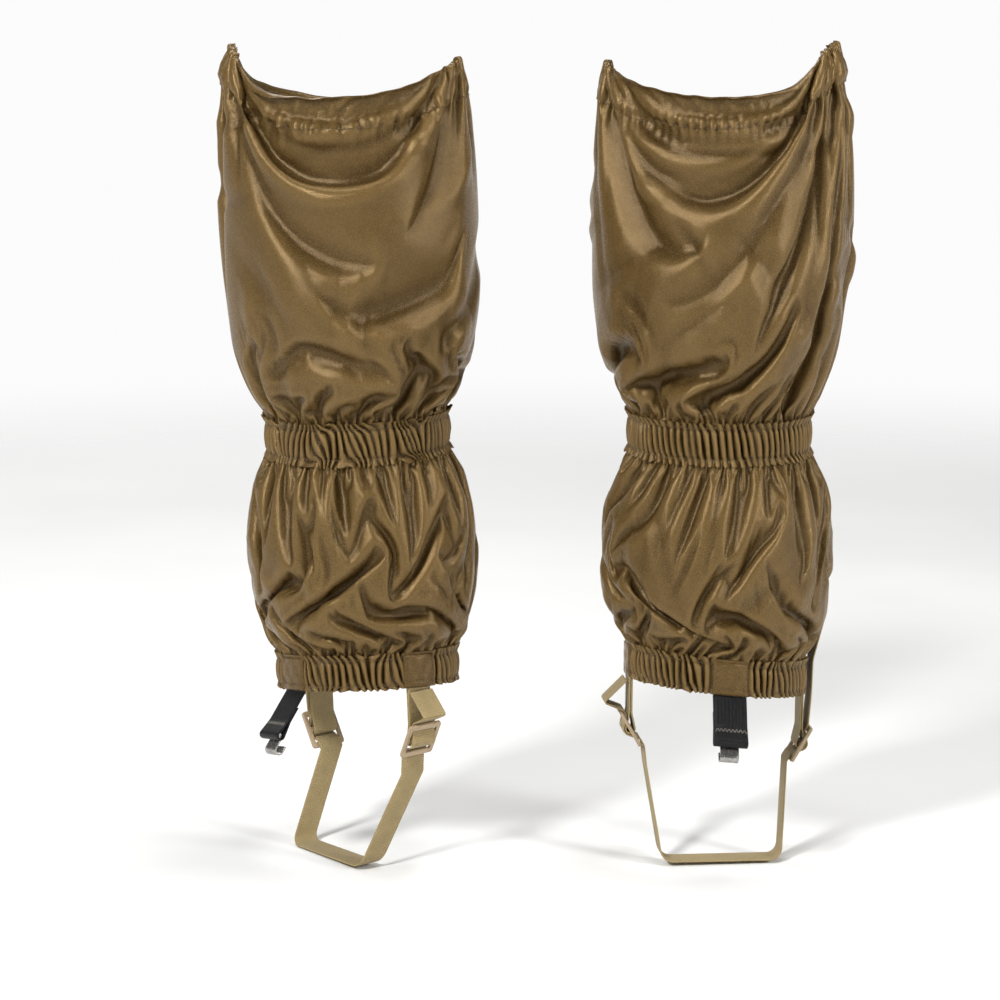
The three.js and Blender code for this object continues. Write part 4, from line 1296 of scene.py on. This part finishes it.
class GAITERS_OT_sew_tabs(Operator):
    """Sew the flat tabs over the ankle gathers"""
    bl_idname = "gaiters.sew_tabs"
    bl_label = "Sew Tabs"

    def execute(self, context):
        paint = finishes()
        for side in SIDES:
            leg = LEGS[side]
            for which, centre in (("front", 0.0), ("outer", math.pi / 2), ("inner", -math.pi / 2)):
                half, rows, columns = TAB_HALF, 30, 40
                a = np.linspace(-half, half, columns)
                z = np.linspace(0, HEM_HEIGHT, rows)
                edge = np.minimum(np.minimum(a + half, half - a)[None] * HEM_MIDDLE,
                                  np.minimum(z, HEM_HEIGHT - z)[:, None])
                lift = 1.2 * MM * np.sqrt(np.clip(edge / (1.4 * MM), 0, 1)) \
                    + 0.3 * MM * np.sin(a * 37 + centre)[None] * np.sin(z * 310)[:, None]
                groove = 0.30 * MM * np.exp(-((z[:, None] - TAB_SEAM) / (0.6 * MM)) ** 2) \
                    + 0.12 * MM * np.exp(-((edge - TAB_INSET) / (0.5 * MM)) ** 2)
                r = TAB_RADIUS + lift - groove
                angle = centre + a[None] + z[:, None] * 0
                level = HEM_BOTTOM + z[:, None] + hem_height(angle)
                outer = np.stack([r * np.sin(angle), -r * np.cos(angle), level], -1)
                r2 = np.full_like(r, 0.0662)
                inner = np.stack([r2 * np.sin(angle), -r2 * np.cos(angle), level], -1)
                points = np.concatenate([outer.reshape(-1, 3), inner.reshape(-1, 3)])
                faces, uv = [], []
                base = rows * columns
                wide = a * HEM_MIDDLE
                for j in range(rows - 1):
                    for i in range(columns - 1):
                        q = (j * columns + i, j * columns + i + 1, (j + 1) * columns + i + 1, (j + 1) * columns + i)
                        faces += [q, tuple(base + k for k in reversed(q))]
                        m = [(wide[i], z[j]), (wide[i + 1], z[j]), (wide[i + 1], z[j + 1]), (wide[i], z[j + 1])]
                        uv += m + m[::-1]
                ring = [(0, i) for i in range(columns - 1)] + [(j, columns - 1) for j in range(rows - 1)] \
                    + [(rows - 1, i) for i in range(columns - 1, 0, -1)] + [(j, 0) for j in range(rows - 1, 0, -1)]
                for (j, i), (m, n) in zip(ring, ring[1:] + ring[:1]):
                    p, q = j * columns + i, m * columns + n
                    faces.append((p, base + p, base + q, q))
                    uv += [(wide[i], z[j]), (wide[i], z[j]), (wide[n], z[m]), (wide[n], z[m])]
                made = strap_piece(f"{side}_{which}_sewn_tab", leg, (points, faces, uv), paint["coated_nylon"])
                # The stitched grooves get a lower fold value, which the nylon turns into painted shade along them.
                fold = made.data.attributes.new("fold", "FLOAT", "POINT")
                shade = np.concatenate([0.5 - groove.ravel() * 900, np.full(base, 0.5)])
                fold.data.foreach_set("value", shade.astype(np.float32))
                fit(made, f"{side}_gaiter", "cloth", f"{side}_{which}_tab")
        return {"FINISHED"}


class GAITERS_OT_thread_webbing(Operator):
    """Fold the foot straps round their slides and thread the stirrups"""
    bl_idname = "gaiters.thread_webbing"
    bl_label = "Thread Webbing"

    def execute(self, context):
        paint = finishes()
        khaki = paint["khaki_webbing"]
        for side in SIDES:
            leg = LEGS[side]
            path = stirrup_path()
            made = strap_piece(f"{side}_webbing_stirrup", leg,
                               ribbon(path[STRAP_BEND:-STRAP_BEND], (0, 1, 0), WEBBING_WIDTH, WEBBING), khaki)
            fit(made, f"{side}_gaiter", "webbing", f"{side}_stirrup_strap")
            for which in ("outer", "inner"):
                at = station(side, which)
                made = at.strap(f"{side}_{which}_webbing_foot_strap", foot_strap_path(), WEBBING_WIDTH, WEBBING,
                                khaki)
                fit(made, f"{side}_gaiter", "webbing", f"{side}_{which}_foot_strap")
                below = path[STRAP_BEND::-1] if which == "outer" else path[-STRAP_BEND - 1:]
                tail = at.path(tail_path(which), -FOOT_STRAP)
                made = strap_piece(f"{side}_{which}_webbing_tail", leg,
                                   ribbon(np.concatenate([below, tail]), (0, 1, 0), WEBBING_WIDTH, WEBBING), khaki)
                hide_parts(f"{side}_{which}_strap_tail")
                tuple(leg.place(below[0]))
                tuple(leg.place(tail[0]))
                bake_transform(made)
        return {"FINISHED"}


class GAITERS_OT_fit_slides(Operator):
    """Round the moulded slides"""
    bl_idname = "gaiters.fit_slides"
    bl_label = "Fit Slides"

    def execute(self, context):
        paint = finishes()
        for side in SIDES:
            for which in ("outer", "inner"):
                made = moulded(f"{side}_{which}_moulded_slide", f"{side}_{which}_slide", paint["tan_plastic"],
                               0.75 * MM)
                fit(made, f"{side}_{which}_slide", "plastic", f"{side}_{which}_slide")
        return {"FINISHED"}


def lace_strap_path():
    t = LACE["thick"]
    half = t / 2
    round_bar = LACE_POCKET + t / 2
    taper = LACE["lap"] / 2
    start = tangent_angle(half, taper, round_bar)
    points = [(half, 0), (half, taper - LACE["length"])] + loop(LACE["length"], round_bar, start) \
        + [(-half, taper - LACE["length"]), (-half, LACE["lap"] - LACE["length"])]
    return spaced(points, 0.8 * MM)


class GAITERS_OT_fit_lace_hooks(Operator):
    """Fold the black straps over their hooks"""
    bl_idname = "gaiters.fit_lace_hooks"
    bl_label = "Fit Lace Hooks"

    def execute(self, context):
        paint = finishes()
        for side in SIDES:
            at = lace_station(side)
            made = at.strap(f"{side}_black_lace_strap", lace_strap_path(), LACE["width"], LACE["thick"],
                            paint["coated_black_webbing"])
            fit(made, f"{side}_lace_strap", "black_webbing", f"{side}_lace_strap")
            sewn = Station(LEGS[side], 0.0, LACE["thick"] + 0.8 * MM, 0.0, FRONT_ROLL)
            made = sewn.strap(f"{side}_black_sewn_end", spaced([(0.1 * MM, 9 * MM), (0.1 * MM, -0.2 * MM)], 1 * MM),
                              LACE["width"], LACE["thick"], paint["coated_black_webbing"])
            fit(made, f"{side}_gaiter", "black_webbing")
            made = moulded(f"{side}_pressed_lace_hook", f"{side}_lace_hook", paint["plated_steel"], 0.28 * MM, 2)
            fit(made, f"{side}_lace_hook", "steel", f"{side}_lace_hook")
        return {"FINISHED"}


class GAITERS_OT_sew_seams(Operator):
    """Sew every seam with thread"""
    bl_idname = "gaiters.sew_seams"
    bl_label = "Sew Seams"

    def execute(self, context):
        paint = finishes()
        for side in SIDES:
            leg = LEGS[side]
            lines = []
            band = GRIDS[side, "calf"]
            n = normals(band)
            for row in (4, 20):
                lines.append(self.closed(leg, band[row] + n[row] * 0.15 * MM))
            hem = GRIDS[side, "ankle"]
            n = normals(hem)
            for row in (5, 19):
                lines.append(self.closed(leg, hem[row] + n[row] * 0.15 * MM))
            top = GRIDS[side, "upper"]
            seam = hem_rows(side)
            n = normals(top)
            lines.append(self.closed(leg, top[seam] + n[seam] * 0.55 * MM))
            for centre in (0.0, math.pi / 2, -math.pi / 2):
                inset = TAB_INSET
                a = TAB_HALF - inset / HEM_MIDDLE
                down = [(-a, z) for z in np.linspace(HEM_HEIGHT - inset, TAB_SEAM, 12)]
                along = [(x, TAB_SEAM) for x in np.linspace(-a, a, 14)[1:]]
                back = [(a, z) for z in np.linspace(TAB_SEAM, HEM_HEIGHT - inset, 12)[1:]]
                points = []
                for x, z in down + along + back:
                    angle = centre + x
                    r = TAB_RADIUS + 1.15 * MM
                    points.append((r * math.sin(angle), -r * math.cos(angle), HEM_BOTTOM + z + hem_height(angle)))
                lines.append(leg.place(np.array(points)))
            for which in ("outer", "inner"):
                at = station(side, which)
                r = THREAD_CLEARANCE / 2 + WEBBING + 0.05 * MM
                box = [(-8, -1.2), (8, -1.2), (8, -3.6), (-8, -3.6), (-8, -1.2)]
                points = [at.base + at.side * x * MM + at.out * r + at.up * z * MM for x, z in box]
                lines.append(leg.place(spaced(np.array(points), 0.5 * MM)))
            made = stitches(f"{side}_thread_stitches", lines, paint["brown_thread"])
            fit(made, f"{side}_gaiter", "cloth")
            at = lace_station(side)
            path = lace_strap_path()
            front = path[:np.argmin(path[:, 1]) + 1]
            zigzag = []
            for k, x in enumerate(np.arange(-11.2, 11.3, 1.4) * MM):
                down = (26.2 if k % 2 else 28.8) * MM
                lift = np.interp(down, -front[:, 1], front[:, 0]) + LACE["thick"] / 2 + 0.12 * MM
                zigzag.append(at.base + at.side * x + at.out * lift - at.up * down)
            made = stitches(f"{side}_zigzag_stitches", [spaced(leg.place(np.array(zigzag)), 0.2 * MM)],
                            paint["pale_thread"], pitch=1.2 * MM, length=1.3 * MM, width=0.42 * MM)
            fit(made, f"{side}_lace_strap", "black_webbing")
        return {"FINISHED"}

    @staticmethod
    def closed(leg, ring):
        return leg.place(np.concatenate([ring, ring[:1]]))


# ---- stage ----------------------------------------------------------------------------------------------------

class GAITERS_OT_set_stage(Operator):
    """Set the floor, the soft lights and the camera"""
    bl_idname = "gaiters.set_stage"
    bl_label = "Set Stage"

    def execute(self, context):
        scene = context.scene
        f = Finish("studio_floor", Specular_IOR_Level=0.3)
        where = f.place()
        tone = f.noise(where, 3, 3, 0.5)
        f.paint(Base_Color=f.ramp(tone, [(0.2, (0.80, 0.80, 0.79)), (0.8, (0.88, 0.88, 0.87))]),
                Roughness=0.7 + (tone - 0.5) * 0.1)
        reach = f.out(f.node("ShaderNodeVectorMath", {"operation": "LENGTH"}, i0=where), "Value")
        f.paint(Alpha=f.out(f.node("ShaderNodeMapRange", {"interpolation_type": "SMOOTHSTEP"}, Value=reach,
                                   From_Min=1.0, From_Max=2.6, To_Min=1.0, To_Max=0.0)))
        floor = CAD_BOX[0].z - 0.6 * MM
        rings = [0.0] + [0.25 * 1.35 ** k for k in range(10)]
        points = [(0, 0, floor)] + [(r * math.cos(t), r * math.sin(t), floor)
                                    for r in rings[1:] for t in np.arange(48) / 48 * TAU]
        faces = [(0, 1 + i, 1 + (i + 1) % 48) for i in range(48)]
        faces += [(1 + (k - 1) * 48 + i, 1 + k * 48 + i, 1 + k * 48 + (i + 1) % 48, 1 + (k - 1) * 48 + (i + 1) % 48)
                  for k in range(1, len(rings) - 1) for i in range(48)]
        make_mesh("studio_floor", points, faces, f.material, sharp=0)
        scene.view_settings.view_transform = "Standard"
        world = bpy.data.worlds.new("studio")
        scene.world = world
        world.use_nodes = True
        tree = world.node_tree
        around, height, glow = tree.nodes.new("ShaderNodeTexCoord"), tree.nodes.new("ShaderNodeSeparateXYZ"), \
            tree.nodes.new("ShaderNodeValToRGB")
        stops = [(0.0, 0.25), (0.34, 0.35), (0.41, 0.97), (0.505, 0.97), (0.56, 0.16), (1.0, 0.10)]
        while len(glow.color_ramp.elements) < len(stops):
            glow.color_ramp.elements.new(0.5)
        for element, (at, value) in zip(glow.color_ramp.elements, stops):
            element.position, element.color = at, (value, value, value, 1)
        half = tree.nodes.new("ShaderNodeMath")
        half.operation = "MULTIPLY_ADD"
        half.inputs[1].default_value = half.inputs[2].default_value = 0.5
        tree.links.new(around.outputs["Generated"], height.inputs["Vector"])
        tree.links.new(height.outputs["Z"], half.inputs[0])
        tree.links.new(half.outputs[0], glow.inputs["Fac"])
        tree.links.new(glow.outputs["Color"], tree.nodes["Background"].inputs["Color"])
        aim = Vector((0, 0, 0.05))
        for name, place, size, power in (("key", (-1.3, -1.7, 1.6), 0.55, 70), ("side", (1.8, -0.9, 0.7), 0.5, 24),
                                         ("top", (0.3, 0.1, 2.2), 0.9, 34), ("rear", (-0.8, 1.8, 1.3), 1.2, 16)):
            light = bpy.data.lights.new(name, "AREA")
            light.shape, light.size, light.energy = "DISK", size, power
            lamp = bpy.data.objects.new(name, light)
            scene.collection.objects.link(lamp)
            lamp.location = place
            lamp.rotation_euler = (aim - Vector(place)).to_track_quat("-Z", "Y").to_euler()
        camera = bpy.data.objects.new("camera", bpy.data.cameras.new("camera"))
        scene.collection.objects.link(camera)
        camera.data.sensor_width = 36
        camera.data.lens = 121.5
        camera.data.clip_end = 50
        camera.location = (-0.028, -2.44, 0.3845)
        camera.rotation_euler = (math.radians(79.87), 0, 0)
        scene.camera = camera
        return {"FINISHED"}


class GAITERS_PT_workshop(Panel):
    bl_label = "Gaiters"
    bl_idname = "GAITERS_PT_workshop"
    bl_space_type = "VIEW_3D"
    bl_region_type = "UI"
    bl_category = "Gaiters"

    def draw(self, context):
        for key in GaiterLook.__annotations__:
            self.layout.prop(context.scene.gaiters, key)
        for step in STEPS:
            self.layout.operator(step.bl_idname)


STEPS = (GAITERS_OT_set_stage, GAITERS_OT_drape_sleeves, GAITERS_OT_gather_bands, GAITERS_OT_turn_top_hems,
         GAITERS_OT_sew_tabs, GAITERS_OT_thread_webbing, GAITERS_OT_fit_slides, GAITERS_OT_fit_lace_hooks,
         GAITERS_OT_sew_seams)
CLASSES = (GaiterLook, *STEPS, GAITERS_PT_workshop)


def register():
    for kind in CLASSES:
        bpy.utils.register_class(kind)
    bpy.types.Scene.gaiters = PointerProperty(type=GaiterLook)


def unregister():
    del bpy.types.Scene.gaiters
    for kind in reversed(CLASSES):
        bpy.utils.unregister_class(kind)


def main():
    register()
    for step in STEPS:
        group, name = step.bl_idname.split(".")
        if "FINISHED" not in getattr(getattr(bpy.ops, group), name)():
            raise RuntimeError(f"{step.bl_label} did not finish")


if __name__ == "__main__":
    main()
